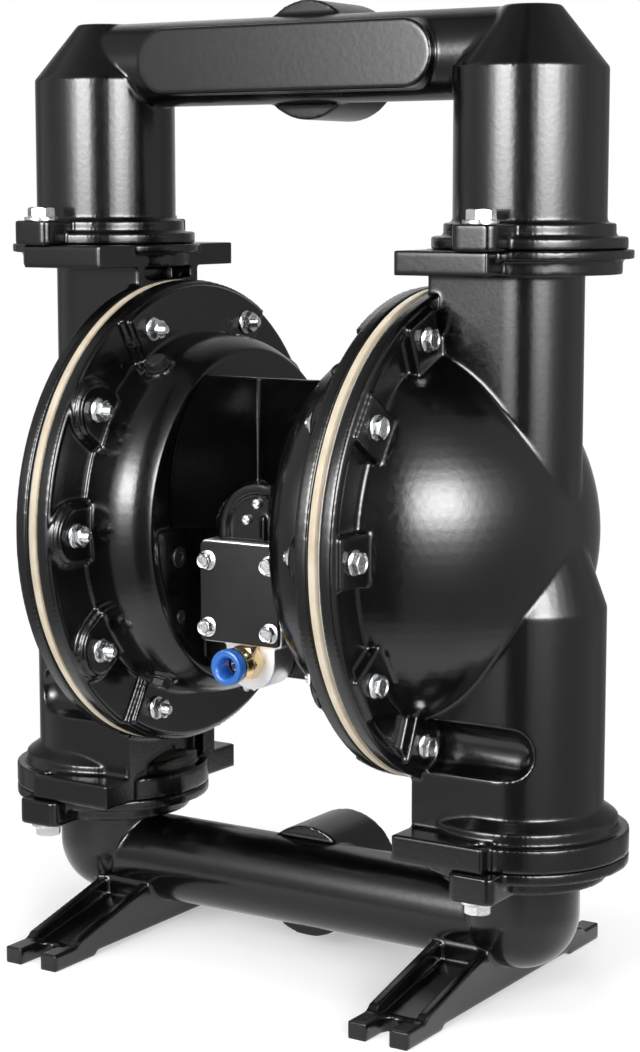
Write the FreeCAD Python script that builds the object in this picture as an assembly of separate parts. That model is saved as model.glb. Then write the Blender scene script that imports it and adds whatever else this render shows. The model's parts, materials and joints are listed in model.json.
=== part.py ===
"""Air-operated double diaphragm pump in painted cast metal.

Two diaphragm chambers sit on one horizontal rod. A manifold with four feet joins
them below and another joins them above, and an air valve between them drives the rod.

+X runs along the rod to the right-hand chamber, +Y to the back, where both ports
open, and +Z is up. The origin is on the floor, midway between the chambers, under
the rod. Lengths are millimetres and angles are degrees.
"""
import FreeCAD, Part
import math
import os

V = FreeCAD.Vector
X_AXIS = V(1, 0, 0)
Y_AXIS = V(0, 1, 0)
Z_AXIS = V(0, 0, 1)

# Clearances
fit_gap = 0.3
running_gap = 0.05
hole_gap = 0.5

# Diaphragm clamp
air_face_x = 109.0
backup_thickness = 6.5
film_thickness = 2.0
clamp_r = 168.5
bolt_edge = 21.0
bolt_circle_r = clamp_r - bolt_edge
side_bolt_angle = 34.5
top_bolt_angle = 67.0
fluid_face_x = air_face_x + backup_thickness + film_thickness

# Main layout, from the floor up
inlet_pipe_z = 51.5
inlet_pipe_drop = 53.5
lower_joint_z = inlet_pipe_z + inlet_pipe_drop
lower_joint_gap = 42.5
rod_z = lower_joint_z + lower_joint_gap + clamp_r
upper_joint_gap = 25.5
upper_joint_z = rod_z + clamp_r + upper_joint_gap
outlet_pipe_rise = 128.0
outlet_pipe_z = upper_joint_z + outlet_pipe_rise
column_stand_off = 58.0
column_x = fluid_face_x + column_stand_off

# Flange fasteners
flange_bolt_r = 4.0
flange_head_flats = 13.0
flange_head_height = 5.3
flange_washer_r = 8.4
flange_washer_thickness = 1.6
flange_nut_height = 6.5
flange_bolt_tail = 4.5

# Fluid caps
dome_edge = 26.5
dome_r = clamp_r - dome_edge
dome_sink = 44.5
dome_x = fluid_face_x - dome_sink
casting_wall = 8.0
flange_rim_height = 10.0
flange_rim_width = 8.0
flange_valley_depth = 4.5
pad_height = 13.5
pad_width = 34.0
pad_inner_reach = 19.5
pad_outer_reach = 15.5
pad_inner_r = bolt_circle_r - pad_inner_reach
pad_outer_r = bolt_circle_r + pad_outer_reach
column_face_gap = 2.0
column_face_x = fluid_face_x + column_face_gap
upper_column_r = 37.0
lower_column_r = 55.0
column_step_drop = 44.0
column_step_rise = 6.0
column_step_low_z = rod_z - column_step_drop
column_step_high_z = rod_z + column_step_rise
upper_bore_r = 29.0
scoop_r = 18.0
scoop_wall = 5.0
scoop_reach = 36.5
scoop_end_x = column_x + scoop_reach
cap_plate_depth = 162.8
cap_plate_reach = 12.5
cap_plate_end_x = column_x + cap_plate_reach
cap_plate_thickness = 16.0
upper_lip_r = 69.0
upper_neck_r = 61.5
upper_lip_height = 6.0
lower_lip_r = 72.5
lower_neck_r = 65.0
lower_neck_height = 31.0
pocket_depth = 18.0
pocket_height = 24.0
pocket_half_depth = 28.0
lower_pocket_width = 40.0

# Ball valves
ball_r = 32.0
ball_lift = 14.0
seat_r = 46.0
seat_thickness = 12.0
seat_bore_r = 22.0
seat_cone_depth = 8.0
cage_bore_r = 43.5
cage_rib_width = 7.0
cage_stop_height = 9.0
cage_height = 100.0
seal_ring_r = 49.5
seal_ring_section = 1.45
seal_groove_depth = 3.5
seal_groove_width = 3.6

# Manifolds
inlet_pipe_r = 31.5
inlet_bore_r = 24.0
elbow_r = 40.0
elbow_z = 60.0
inlet_flange_tiers = ((72.5, 8.0), (58.0, 18.5))
inlet_lug_offset = 5.5
inlet_lug_x = column_x + inlet_lug_offset
inlet_lug_width = 34.0
outlet_pipe_r = 30.0
outlet_bore_r = 23.0
riser_r = 51.0
riser_shoulder_drop = 10.0
riser_shoulder_z = outlet_pipe_z - riser_shoulder_drop
riser_top_r = 19.0
outlet_flange_tiers = ((65.0, 8.5), (57.0, 17.3))
outlet_lug_offset = 3.0
outlet_lug_x = column_x + outlet_lug_offset
outlet_lug_width = 31.0
lug_bolt_inset = 9.4
lug_bolt_y = cap_plate_depth / 2 - lug_bolt_inset
lug_end_reach = 14.0
lug_tip_y = lug_bolt_y + lug_end_reach
port_boss_r = 41.0
port_boss_length = 60.0
port_thread_r = 28.5
port_thread_length = 34.0
name_pad_length = 240.0
name_pad_height = 46.0
name_pad_y = 36.0

# Feet
foot_inset = 8.1
foot_outer_x = column_x - foot_inset
foot_width = 46.2
foot_reach = 139.3
foot_pad_length = 46.0
foot_pad_height = 12.0
foot_relief = 3.0
foot_slot_width = 17.0
foot_slot_depth = 27.0
foot_rib_width = 8.0
foot_rib_high = 38.0
foot_rib_low = 16.0
foot_rib_inner_y = 24.0
foot_rib_outer_y = 112.0
foot_floor_high = 24.0
foot_floor_low = 9.0

# Manifold bolts
lug_bolt_r = 5.0
lug_head_flats = 17.0
lug_head_height = 7.0
lug_washer_r = 12.0
lug_washer_thickness = 2.5

# Air caps
air_flange_thickness = 11.0
boss_step = 3.3
boss_height = 6.4
boss_width = 38.0
boss_margin = 3.0
boss_edge = 4.0
boss_end_r = clamp_r - boss_edge
drum_inset = 16.5
drum_r = bolt_circle_r - drum_inset
drum_wall = 8.5
chamber_bore_r = drum_r - drum_wall
lip_face_x = 47.5
shoulder_run = 29.5
shoulder_x = lip_face_x + shoulder_run
crest_drop = 10.0
crest_r = drum_r - crest_drop
recess_depth = 2.0
recess_edge = 9.0
recess_r = crest_r - recess_edge
recess_top_dz = 2.0
hub_r = 60.0
hub_thickness = 22.5
hub_floor_x = lip_face_x + hub_thickness
web_thickness = 11.5
web_floor_x = lip_face_x + web_thickness
plug_insets = ((192.2, 22.7, 6.0), (215.7, 6.7, 3.5))
plug_depth = 5.0
plug_head = 2.0
drum_plug_angle = 57.0
drum_plug_x = 76.0
drum_plug_flats = 13.0
drum_plug_head = 5.0
drum_plug_flange_r = 8.5
drum_plug_flange = 1.5
drum_plug_r = 4.0
drum_plug_depth = 5.0
drum_boss_r = 10.0
drum_boss_rise = 1.5

# Centre body
body_low_inset = 19.0
body_high_inset = 15.0
body_low_z = rod_z - crest_r + body_low_inset
body_high_z = rod_z + crest_r - body_high_inset
body_top_fall = 18.0
body_lap = 5.0
body_side_y = 52.0
body_back_y = 58.0
cove_y = 60.0
cove_low_y = crest_r - 23.0
cove_low_z = rod_z + 2.0
cove_middle_y = crest_r - 24.0
cove_middle_z = rod_z + 50.0
cove_corner_inset = 0.6
valve_seat_y = 56.0
arch_r = 33.5
arch_rim = 7.0
arch_recess = 3.0
arch_x = 12.5
arch_front_y = 80.0
arch_rise = 2.0
arch_spring_z = rod_z + arch_rise
arch_rib_dx = 3.5
arch_rib_width = 3.0
arch_rib_rise = 11.0
exhaust_boss_r = 27.0
exhaust_boss_y = 68.0
exhaust_drop = 42.0
exhaust_z = rod_z - exhaust_drop
exhaust_bore_r = 13.0

# Air valve
valve_drop = 41.0
valve_z = rod_z - valve_drop
valve_width = 66.0
valve_height = 71.0
valve_depth = 25.2
cover_thickness = 2.5
cover_margin = 1.2
gasket_thickness = 0.8
valve_front_y = valve_seat_y + gasket_thickness + valve_depth
cover_bolt_edge_x = 7.4
cover_bolt_edge_top = 13.8
cover_bolt_edge_low = 10.8
cover_bolt_r = 3.0
cover_bolt_flats = 10.0
cover_bolt_head = 5.0
cover_bolt_flange_r = 7.0
cover_bolt_flange = 1.4
cover_bolt_length = 15.0
lobe_x = 7.0
lobe_drop = 10.5
lobe_z = valve_z - valve_height / 2 - lobe_drop
lobe_r = 20.0
spool_depth = 13.0
spool_y = spool_depth - valve_front_y
spool_z = valve_z - 1.5
spool_r = 6.0
spool_travel = 5.0
spool_margin = 1.0
sleeve_r = 9.0
end_plug_length = 5.0

# Air inlet fitting
tube_r = 6.0
fitting_thread_r = 8.5
fitting_thread_length = 12.0
fitting_flats = 22.0
fitting_hex_length = 11.0
fitting_body_r = 12.0
fitting_body_length = 9.0
collet_r = 12.3
collet_length = 8.0
collet_sleeve_r = 8.0
collet_gap = 2.0
tube_stop_depth = 24.0

# Rod assembly
rod_r = 12.5
rod_travel = 26.0
rod_end_r = 9.0
washer_r = 62.0
inner_washer_thickness = 12.0
outer_washer_thickness = 13.0
rod_nut_flats = 30.0
rod_nut_height = 15.0
bush_r = 16.0
bush_length = 18.0
seal_length = 5.0
convolution_margin = 6.25
convolution_half = (chamber_bore_r - washer_r) / 2 - convolution_margin
pilot_r = 6.0
pilot_rise = 36.0
pilot_travel = 5.0
pilot_margin = 0.5
pilot_bush_r = 9.0
pilot_bush_length = 14.0
hub_screw_circle_r = 45.0
hub_screw_r = 4.0
hub_screw_head_r = 7.0
hub_screw_head = 7.0
hub_screw_length = 26.0

# Muffler and small parts
muffler_r = 21.0
muffler_length = 62.0
muffler_neck_length = 10.0
muffler_slot_count = 10
pilot_screw_offsets = ((-11.0, 7.8), (-2.5, 19.3))
pilot_screw_r = 3.6
pilot_screw_head = 3.0
ground_screw_r = 3.0
ground_screw_length = 3.8
ground_screw_y = -14.0

cap_face_x = fluid_face_x + flange_rim_height
pad_face_x = fluid_face_x + pad_height
air_back_x = air_face_x - air_flange_thickness
boss_face_x = air_back_x - boss_height
ball_rise = ball_r * math.sqrt(2) - seat_bore_r - seat_cone_depth + fit_gap * math.sqrt(2)
cage_rib_r = ball_r + 1.5
inlet_seat_top = lower_joint_z + seat_thickness
outlet_seat_top = upper_joint_z + seat_thickness
inlet_lug_z = lower_joint_z - inlet_flange_tiers[-1][1]
outlet_lug_z = upper_joint_z + outlet_flange_tiers[-1][1]
spool_length = valve_width - 2 * (end_plug_length + spool_travel + spool_margin)
pilot_screw_places = [(arch_x + dx, arch_spring_z + dz) for dx, dz in pilot_screw_offsets]
plug_places = [((recess_r - inset) * math.cos(math.radians(angle)),
                (recess_r - inset) * math.sin(math.radians(angle)), radius)
               for angle, inset, radius in plug_insets]

parts = {}


def box(x0, x1, y0, y1, z0, z1):
    """A box between two corners."""
    return Part.makeBox(x1 - x0, y1 - y0, z1 - z0, V(x0, y0, z0))


def bar_x(radius, x0, x1, y=0.0, z=rod_z):
    """A round bar along X."""
    return Part.makeCylinder(radius, x1 - x0, V(x0, y, z), X_AXIS)


def bar_y(radius, y0, y1, x=0.0, z=0.0):
    """A round bar along Y."""
    return Part.makeCylinder(radius, y1 - y0, V(x, y0, z), Y_AXIS)


def bar_z(radius, z0, z1, x=0.0, y=0.0):
    """A round bar along Z."""
    return Part.makeCylinder(radius, z1 - z0, V(x, y, z0), Z_AXIS)


def ring_x(outer, inner, x0, x1, y=0.0, z=rod_z):
    """A flat ring about an axis along X."""
    return bar_x(outer, x0, x1, y, z).cut(bar_x(inner, x0, x1, y, z))


def hexagon(flats, length, start, direction):
    """A hexagonal bar, measured across its flats, from start along direction."""
    corner = flats / math.sqrt(3)
    points = [V(corner * math.cos(math.radians(a)), corner * math.sin(math.radians(a)), 0)
              for a in range(0, 361, 60)]
    bar = Part.Face(Part.makePolygon(points)).extrude(V(0, 0, length))
    bar.Placement = FreeCAD.Placement(start, FreeCAD.Rotation(Z_AXIS, direction))
    return bar


def prism(points, vector):
    """The solid swept by a closed outline moved along vector."""
    return Part.Face(Part.makePolygon(points + points[:1])).extrude(vector)


def revolve_x(outline, arcs=()):
    """Revolve (x, r) points about the rod axis; arcs maps a point's index to its run's midpoint."""
    edges = []
    mids = dict(arcs)
    for i, (x, r) in enumerate(outline):
        nx, nr = outline[(i + 1) % len(outline)]
        start = V(x, 0, rod_z + r)
        end = V(nx, 0, rod_z + nr)
        if i in mids:
            mx, mr = mids[i]
            edges.append(Part.Arc(start, V(mx, 0, rod_z + mr), end).toShape())
        elif start.distanceToPoint(end) > 1e-6:
            edges.append(Part.makeLine(start, end))
    face = Part.Face(Part.Wire(edges))
    return face.revolve(V(0, 0, rod_z), X_AXIS, 360)


def revolve_z(outline, x, y=0.0):
    """Revolve (r, z) points about a vertical axis at x, y."""
    points = [V(x + r, y, z) for r, z in outline]
    return Part.Face(Part.makePolygon(points + points[:1])).revolve(V(x, y, 0), Z_AXIS, 360)


def turned(shape, degrees):
    """The shape turned about the rod axis."""
    result = shape.copy()
    result.rotate(V(0, 0, rod_z), X_AXIS, degrees)
    return result


def mirrored(shape, normal=X_AXIS):
    """The shape reflected in the plane through the origin with this normal."""
    return shape.mirror(V(0, 0, 0), normal)


def both_ends(shape, normal=X_AXIS):
    """The shape and its mirror image, as a list."""
    return [shape, mirrored(shape, normal)]


def bolt_angles():
    """Angles of the ten flange bolts about the rod axis, from +Y towards +Z."""
    half = [-top_bolt_angle, -side_bolt_angle, 0.0, side_bolt_angle, top_bolt_angle]
    return half + [180.0 - a for a in half]


def join(shapes):
    """Fuse shapes and merge the faces that continue each other."""
    return shapes[0].multiFuse(shapes[1:]).removeSplitter()


def keep(name, shape):
    """Store a finished node."""
    parts[name] = shape


def keep_group(name, solids):
    """Store separate identical pieces as one node."""
    parts[name] = Part.makeCompound(solids)


def sphere_height(radius, centre, x):
    """Radius at x of a sphere centred on the rod axis."""
    return math.sqrt(max(radius ** 2 - (x - centre) ** 2, 0.0))


def dome_ball(radius):
    """The part of a ball about the dome's centre that stands outboard of the flange face."""
    ball = Part.makeSphere(radius, V(dome_x, 0, rod_z))
    ball.rotate(V(dome_x, 0, rod_z), Z_AXIS, 180)
    reach = radius + 1
    outboard = box(fluid_face_x, dome_x + reach, -reach, reach, rod_z - reach, rod_z + reach)
    return ball.common(outboard).Solids[0]


def column(radius, z0, z1):
    """A column that is flat in front and behind and half round outboard."""
    block = box(column_face_x, column_x, -radius, radius, z0, z1)
    return block.fuse(bar_z(radius, z0, z1, column_x))


def column_step():
    """The tapering stretch between the wide lower column and the slim upper one."""
    wires = []
    for radius, z in ((lower_column_r, column_step_low_z), (upper_column_r, column_step_high_z)):
        start = V(column_face_x, -radius, z)
        corner = V(column_x, -radius, z)
        far = V(column_x, radius, z)
        end = V(column_face_x, radius, z)
        arc = Part.Arc(corner, V(column_x + radius, 0, z), far).toShape()
        edges = [Part.makeLine(start, corner), arc, Part.makeLine(far, end), Part.makeLine(end, start)]
        wires.append(Part.Wire(edges))
    return Part.makeLoft(wires, True, True)


def cap_flange():
    """The round flange of a fluid cap with its raised rim."""
    valley_x = cap_face_x - flange_valley_depth
    chamfer = 1.5
    return revolve_x([(fluid_face_x, 0), (fluid_face_x, clamp_r), (cap_face_x - chamfer, clamp_r),
                      (cap_face_x, clamp_r - chamfer), (cap_face_x, clamp_r - flange_rim_width),
                      (valley_x, clamp_r - flange_rim_width - flange_valley_depth), (valley_x, 0)])


def flange_pads():
    """Flat seats for the bolt heads, standing up from the flange."""
    pad = box(fluid_face_x, pad_face_x, pad_inner_r, pad_outer_r,
              rod_z - pad_width / 2, rod_z + pad_width / 2)
    return [turned(pad, a) for a in bolt_angles()]


def pad_clearances():
    """Room for the bolt heads where the dome would stand over a pad."""
    room = box(pad_face_x, pad_face_x + 30, pad_inner_r, clamp_r + 10,
               rod_z - pad_width / 2, rod_z + pad_width / 2)
    return [turned(room, a) for a in bolt_angles()]


def scoops(radius):
    """Round-ended channels beside the lower column that let a spanner reach two bolts."""
    y = -bolt_circle_r * math.cos(math.radians(top_bolt_angle))
    z = rod_z - bolt_circle_r * math.sin(math.radians(top_bolt_angle))
    end_x = scoop_end_x - scoop_r
    channel = bar_x(radius, pad_face_x, end_x, y, z).fuse(Part.makeSphere(radius, V(end_x, y, z)))
    return both_ends(channel, Y_AXIS)


def bolt_holes(radius, x0, x1):
    """Through holes on the bolt circle."""
    hole = bar_x(radius, x0, x1, bolt_circle_r)
    return [turned(hole, a) for a in bolt_angles()]


def cap_flanges():
    """The upper and lower manifold flanges of a fluid cap."""
    half = cap_plate_depth / 2
    top = upper_joint_z
    base = lower_joint_z
    plate_top = box(column_face_x, cap_plate_end_x, -half, half, top - cap_plate_thickness, top)
    plate_base = box(column_face_x, cap_plate_end_x, -half, half, base, base + cap_plate_thickness + 2)
    lip_top = bar_z(upper_lip_r, top - upper_lip_height, top, column_x)
    neck_top = bar_z(upper_neck_r, top - cap_plate_thickness, top, column_x)
    lip_base = bar_z(lower_lip_r, base, base + cap_plate_thickness, column_x)
    neck_base = revolve_z([(0, base), (lower_neck_r, base), (lower_neck_r, base + lower_neck_height - 7),
                           (lower_column_r, base + lower_neck_height), (0, base + lower_neck_height)], column_x)
    return [plate_top, plate_base, lip_top, neck_top, lip_base, neck_base]


def cap_passage():
    """The fluid space inside a cap: the dome, the lower ball chamber and the upper bore."""
    taper_z = column_step_low_z - 10
    taper_end_z = column_step_high_z - 22
    shaft = join([bar_z(cage_bore_r, lower_joint_z, taper_z, column_x),
                  Part.makeCone(cage_bore_r, upper_bore_r, taper_end_z - taper_z, V(column_x, 0, taper_z)),
                  bar_z(upper_bore_r, taper_end_z, upper_joint_z, column_x)])
    shaft.rotate(V(column_x, 0, 0), Z_AXIS, 180)
    return dome_ball(dome_r - casting_wall).fuse(shaft)


def cage(seat_top_z):
    """Guide ribs and the crossed ball stop above a seat, centred on the column."""
    stop_z = seat_top_z + ball_rise + ball_r + ball_lift + fit_gap
    ribs = []
    for turn in (45, 135):
        rib = box(-cage_bore_r - 1, cage_bore_r + 1, -cage_rib_width / 2, cage_rib_width / 2,
                  seat_top_z + fit_gap, stop_z + cage_stop_height)
        rib = rib.cut(bar_z(cage_rib_r, 0, stop_z))
        rib.rotate(V(0, 0, 0), Z_AXIS, turn)
        ribs.append(rib)
    cross = ribs[0].fuse(ribs[1])
    cross = cross.common(bar_z(cage_bore_r + 1, seat_top_z, seat_top_z + cage_height))
    cross.translate(V(column_x, 0, 0))
    return cross


def seal_groove(z0, z1):
    """The groove for a seal ring in a joint face."""
    outer = bar_z(seal_ring_r + seal_groove_width / 2, z0, z1, column_x)
    return outer.cut(bar_z(seal_ring_r - seal_groove_width / 2, z0, z1, column_x))


def inboard_pockets():
    """Cored recesses in the column's inboard face, under the plate and above the lower one."""
    top = upper_joint_z - cap_plate_thickness
    rim_top = rod_z + clamp_r + 1.5
    upper = box(cap_face_x, column_face_x + pocket_depth, -pocket_half_depth, pocket_half_depth,
                top - pocket_height, top)
    mouth = box(column_face_x - 1, cap_face_x, -pocket_half_depth, pocket_half_depth, rim_top, top)
    base = lower_joint_z + cap_plate_thickness + 2
    lower = box(column_face_x - 1, column_face_x + pocket_depth / 2, 0, lower_pocket_width,
                base, rod_z - clamp_r - 1.5)
    return [upper, mouth, lower]


def fluid_cap():
    """The right fluid cap: dome, bolted flange, column and the two manifold flanges."""
    dome = dome_ball(dome_r).fuse(cap_flange()).cut(pad_clearances())
    solids = [dome, column(upper_column_r, column_step_high_z, upper_joint_z - 1),
              column(lower_column_r, lower_joint_z + 1, column_step_low_z), column_step()]
    body = join(solids + flange_pads() + cap_flanges())
    cuts = [cap_passage().cut(scoops(scoop_r + scoop_wall))] + scoops(scoop_r) + inboard_pockets()
    cuts += bolt_holes(flange_bolt_r + hole_gap, fluid_face_x, pad_face_x)
    for y in (-lug_bolt_y, lug_bolt_y):
        cuts.append(bar_z(lug_bolt_r + hole_gap, upper_joint_z - cap_plate_thickness, upper_joint_z,
                          outlet_lug_x, y))
        cuts.append(bar_z(lug_bolt_r + hole_gap, lower_joint_z, lower_joint_z + 40, inlet_lug_x, y))
    cuts.append(bar_z(seat_r + fit_gap, lower_joint_z, inlet_seat_top, column_x))
    cuts.append(seal_groove(upper_joint_z - seal_groove_depth, upper_joint_z))
    return body.cut(cuts).fuse(cage(inlet_seat_top)).removeSplitter()


def lug(x, width, z0, z1):
    """A bolt lug of a manifold flange, square to the front and rounded at its corners."""
    block = box(x - width / 2, x + width / 2, 0, lug_tip_y, z0, z1)
    corners = [e for e in block.Edges
               if abs(e.Vertexes[0].Y - lug_tip_y) < 0.01 and abs(e.Vertexes[0].Y - e.Vertexes[-1].Y) < 0.01
               and abs(e.Vertexes[0].X - e.Vertexes[-1].X) < 0.01]
    return block.makeFillet(6, corners)


def manifold_flange(tiers, joint_z, side, lug_x, lug_width):
    """The stepped round flange above (side 1) or below (side -1) a joint, with its two lugs."""
    solids = []
    for radius, height in tiers:
        level = joint_z + side * height
        solids.append(bar_z(radius, min(joint_z, level), max(joint_z, level), column_x))
    ear = lug(lug_x, lug_width, min(joint_z, level), max(joint_z, level))
    return solids + both_ends(ear, Y_AXIS)


def lug_holes(x, z0, z1):
    """The two bolt holes of a manifold flange."""
    return [bar_z(lug_bolt_r + hole_gap, z0, z1, x, y) for y in (-lug_bolt_y, lug_bolt_y)]


def port_boss(z, length):
    """The round boss at the middle of a manifold that carries the threaded port."""
    return bar_y(port_boss_r, 0, length, 0, z)


def foot():
    """The right foot bar: a pad with an open slot at each end and a ribbed trough between."""
    x0 = foot_outer_x - foot_width
    x1 = foot_outer_x
    y_pad = foot_reach - foot_pad_length
    half = [V(x0, -foot_reach, 0), V(x0, -y_pad, 0), V(x0, -y_pad + foot_relief, foot_relief),
            V(x0, 0, foot_relief), V(x0, 0, foot_rib_high), V(x0, -foot_rib_inner_y, foot_rib_high),
            V(x0, -foot_rib_outer_y, foot_rib_low), V(x0, -foot_rib_outer_y - 5, foot_pad_height),
            V(x0, -foot_reach, foot_pad_height)]
    arm = prism(half, V(foot_width, 0, 0))
    inner = x0 + foot_rib_width
    outer = x1 - foot_rib_width
    front_y = -foot_rib_outer_y - 8
    back_y = -foot_rib_inner_y - 6
    above = foot_rib_high + 5
    trough = [V(inner, front_y, foot_pad_height), V(inner, -foot_rib_outer_y + 6, foot_floor_low),
              V(inner, back_y, foot_floor_high), V(inner, back_y, above), V(inner, front_y, above)]
    arm = arm.cut(prism(trough, V(outer - inner, 0, 0)))
    middle = (x0 + x1) / 2
    half_slot = foot_slot_width / 2
    slot_end = -foot_reach + foot_slot_depth - half_slot
    slot = box(middle - half_slot, middle + half_slot, -foot_reach - 1, slot_end, -1, foot_rib_high)
    slot = slot.fuse(bar_z(half_slot, -1, foot_rib_high, middle, slot_end))
    arm = arm.cut(slot)
    return arm.fuse(mirrored(arm, Y_AXIS))


def inlet_manifold():
    """The lower manifold: a pipe with two elbows, flanges, the port boss and the feet."""
    pipe = bar_x(inlet_pipe_r, -column_x, column_x, 0, inlet_pipe_z)
    solids = [pipe, port_boss(inlet_pipe_z, port_boss_length)]
    for end in (False, True):
        half = [bar_z(elbow_r, elbow_z, lower_joint_z, column_x),
                Part.makeSphere(elbow_r, V(column_x, 0, elbow_z)), foot()]
        half += manifold_flange(inlet_flange_tiers, lower_joint_z, -1, inlet_lug_x, inlet_lug_width)
        solids += [mirrored(s) for s in half] if end else half
    body = join(solids)
    cuts = [bar_x(inlet_bore_r, -column_x, column_x, 0, inlet_pipe_z),
            bar_y(inlet_bore_r, 0, port_boss_length, 0, inlet_pipe_z),
            bar_y(port_thread_r, port_boss_length - port_thread_length, port_boss_length, 0, inlet_pipe_z)]
    half = [bar_z(elbow_r - casting_wall, elbow_z, lower_joint_z, column_x),
            Part.makeSphere(elbow_r - casting_wall, V(column_x, 0, elbow_z)),
            seal_groove(lower_joint_z - seal_groove_depth, lower_joint_z)]
    half += lug_holes(inlet_lug_x, inlet_lug_z, lower_joint_z)
    for shape in half:
        cuts += both_ends(shape)
    return body.cut(cuts)


def name_pad():
    """The raised oblong pad with round ends on the front of the outlet manifold."""
    end_r = name_pad_height / 2
    reach = name_pad_length / 2 - end_r
    slab = box(-reach, reach, -name_pad_y, 0, outlet_pipe_z - end_r, outlet_pipe_z + end_r)
    ends = [bar_y(end_r, -name_pad_y, 0, x, outlet_pipe_z) for x in (-reach, reach)]
    return slab.multiFuse(ends).removeSplitter()


def outlet_manifold():
    """The upper manifold: a pipe on two risers, flanges, the port boss and the name pad."""
    top_z = outlet_pipe_z + outlet_pipe_r
    riser = revolve_z([(0, upper_joint_z), (riser_r, upper_joint_z), (riser_r, riser_shoulder_z),
                       (riser_top_r, top_z), (0, top_z)], column_x)
    solids = [bar_x(outlet_pipe_r, -column_x, column_x, 0, outlet_pipe_z), name_pad(),
              port_boss(outlet_pipe_z, port_boss_length)]
    half = [riser] + manifold_flange(outlet_flange_tiers, upper_joint_z, 1, outlet_lug_x, outlet_lug_width)
    for shape in half:
        solids += both_ends(shape)
    body = join(solids)
    roof_z = top_z - casting_wall - 8
    cavity = revolve_z([(0, outlet_seat_top), (cage_bore_r, outlet_seat_top),
                        (cage_bore_r, riser_shoulder_z - 6), (riser_top_r, roof_z), (0, roof_z)], column_x)
    cuts = [bar_x(outlet_bore_r, -column_x, column_x, 0, outlet_pipe_z),
            bar_y(outlet_bore_r, 0, port_boss_length, 0, outlet_pipe_z),
            bar_y(port_thread_r, port_boss_length - port_thread_length, port_boss_length, 0, outlet_pipe_z)]
    half = [cavity, bar_z(seat_r + fit_gap, upper_joint_z, outlet_seat_top, column_x)]
    half += lug_holes(outlet_lug_x, upper_joint_z, outlet_lug_z)
    for shape in half:
        cuts += both_ends(shape)
    body = body.cut(cuts)
    return body.multiFuse(both_ends(cage(outlet_seat_top))).removeSplitter()


def boss(radius, end_r, face_x):
    """A flange boss: square against the drum and round at its outboard end."""
    centre = end_r - radius
    block = box(face_x, air_back_x + 1, drum_r - 4, centre, rod_z - radius, rod_z + radius)
    return block.fuse(bar_x(radius, face_x, air_back_x + 1, centre))


def boss_sector(margin, outer_r, face_x):
    """The raised arc that joins the two bosses at the top of the flange."""
    spread = 90 - top_bolt_angle + math.degrees((boss_width / 2 + margin) / bolt_circle_r)
    outline = []
    for radius, sweep in ((outer_r, 1), (drum_r - 4, -1)):
        for t in (-sweep, 0, sweep):
            a = math.radians(90 - spread * t)
            outline.append(V(face_x, radius * math.cos(a), rod_z + radius * math.sin(a)))
    edges = [Part.Arc(outline[0], outline[1], outline[2]).toShape(), Part.makeLine(outline[2], outline[3]),
             Part.Arc(outline[3], outline[4], outline[5]).toShape(), Part.makeLine(outline[5], outline[0])]
    sector = Part.Face(Part.Wire(edges)).extrude(V(air_back_x + 1 - face_x, 0, 0))
    return [sector, turned(sector, 180)]


def air_cap_profile():
    """The solid of revolution of an air cap: flange, drum, rounded shoulder and flat inner face."""
    chamfer = 2.0
    crest_x = lip_face_x + 1.5
    run = shoulder_x - crest_x
    drop = drum_r - crest_r
    shoulder_r = (run ** 2 + drop ** 2) / (2 * drop)
    turn = math.atan2(run, shoulder_r - drop) / 2
    middle = (shoulder_x - shoulder_r * math.sin(turn), drum_r - shoulder_r * (1 - math.cos(turn)))
    outline = [(air_face_x, 0), (air_face_x, clamp_r), (air_back_x + chamfer, clamp_r),
               (air_back_x, clamp_r - chamfer), (air_back_x, drum_r), (shoulder_x, drum_r),
               (crest_x, crest_r), (lip_face_x, crest_r - 1.5), (lip_face_x, 0)]
    return revolve_x(outline, {5: middle})


def air_chamber():
    """The air side's hollow: the diaphragm's space and the ring-shaped pocket round the hub."""
    lead = sphere_height(dome_r - casting_wall, dome_x, fluid_face_x)
    return revolve_x([(air_face_x, 0), (air_face_x, lead), (air_face_x - 8, chamber_bore_r),
                      (hub_floor_x + 5, chamber_bore_r), (web_floor_x, chamber_bore_r - 12),
                      (web_floor_x, hub_r + 8), (hub_floor_x, hub_r), (hub_floor_x, 0)])


def on_drum(shape):
    """Two copies of a shape drawn along +Z from the rod axis, at the plug places on a drum's front."""
    shape = shape.copy()
    shape.translate(V(drum_plug_x, 0, rod_z))
    return [turned(shape, 90 - drum_plug_angle), turned(shape, 90 + drum_plug_angle)]


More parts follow.
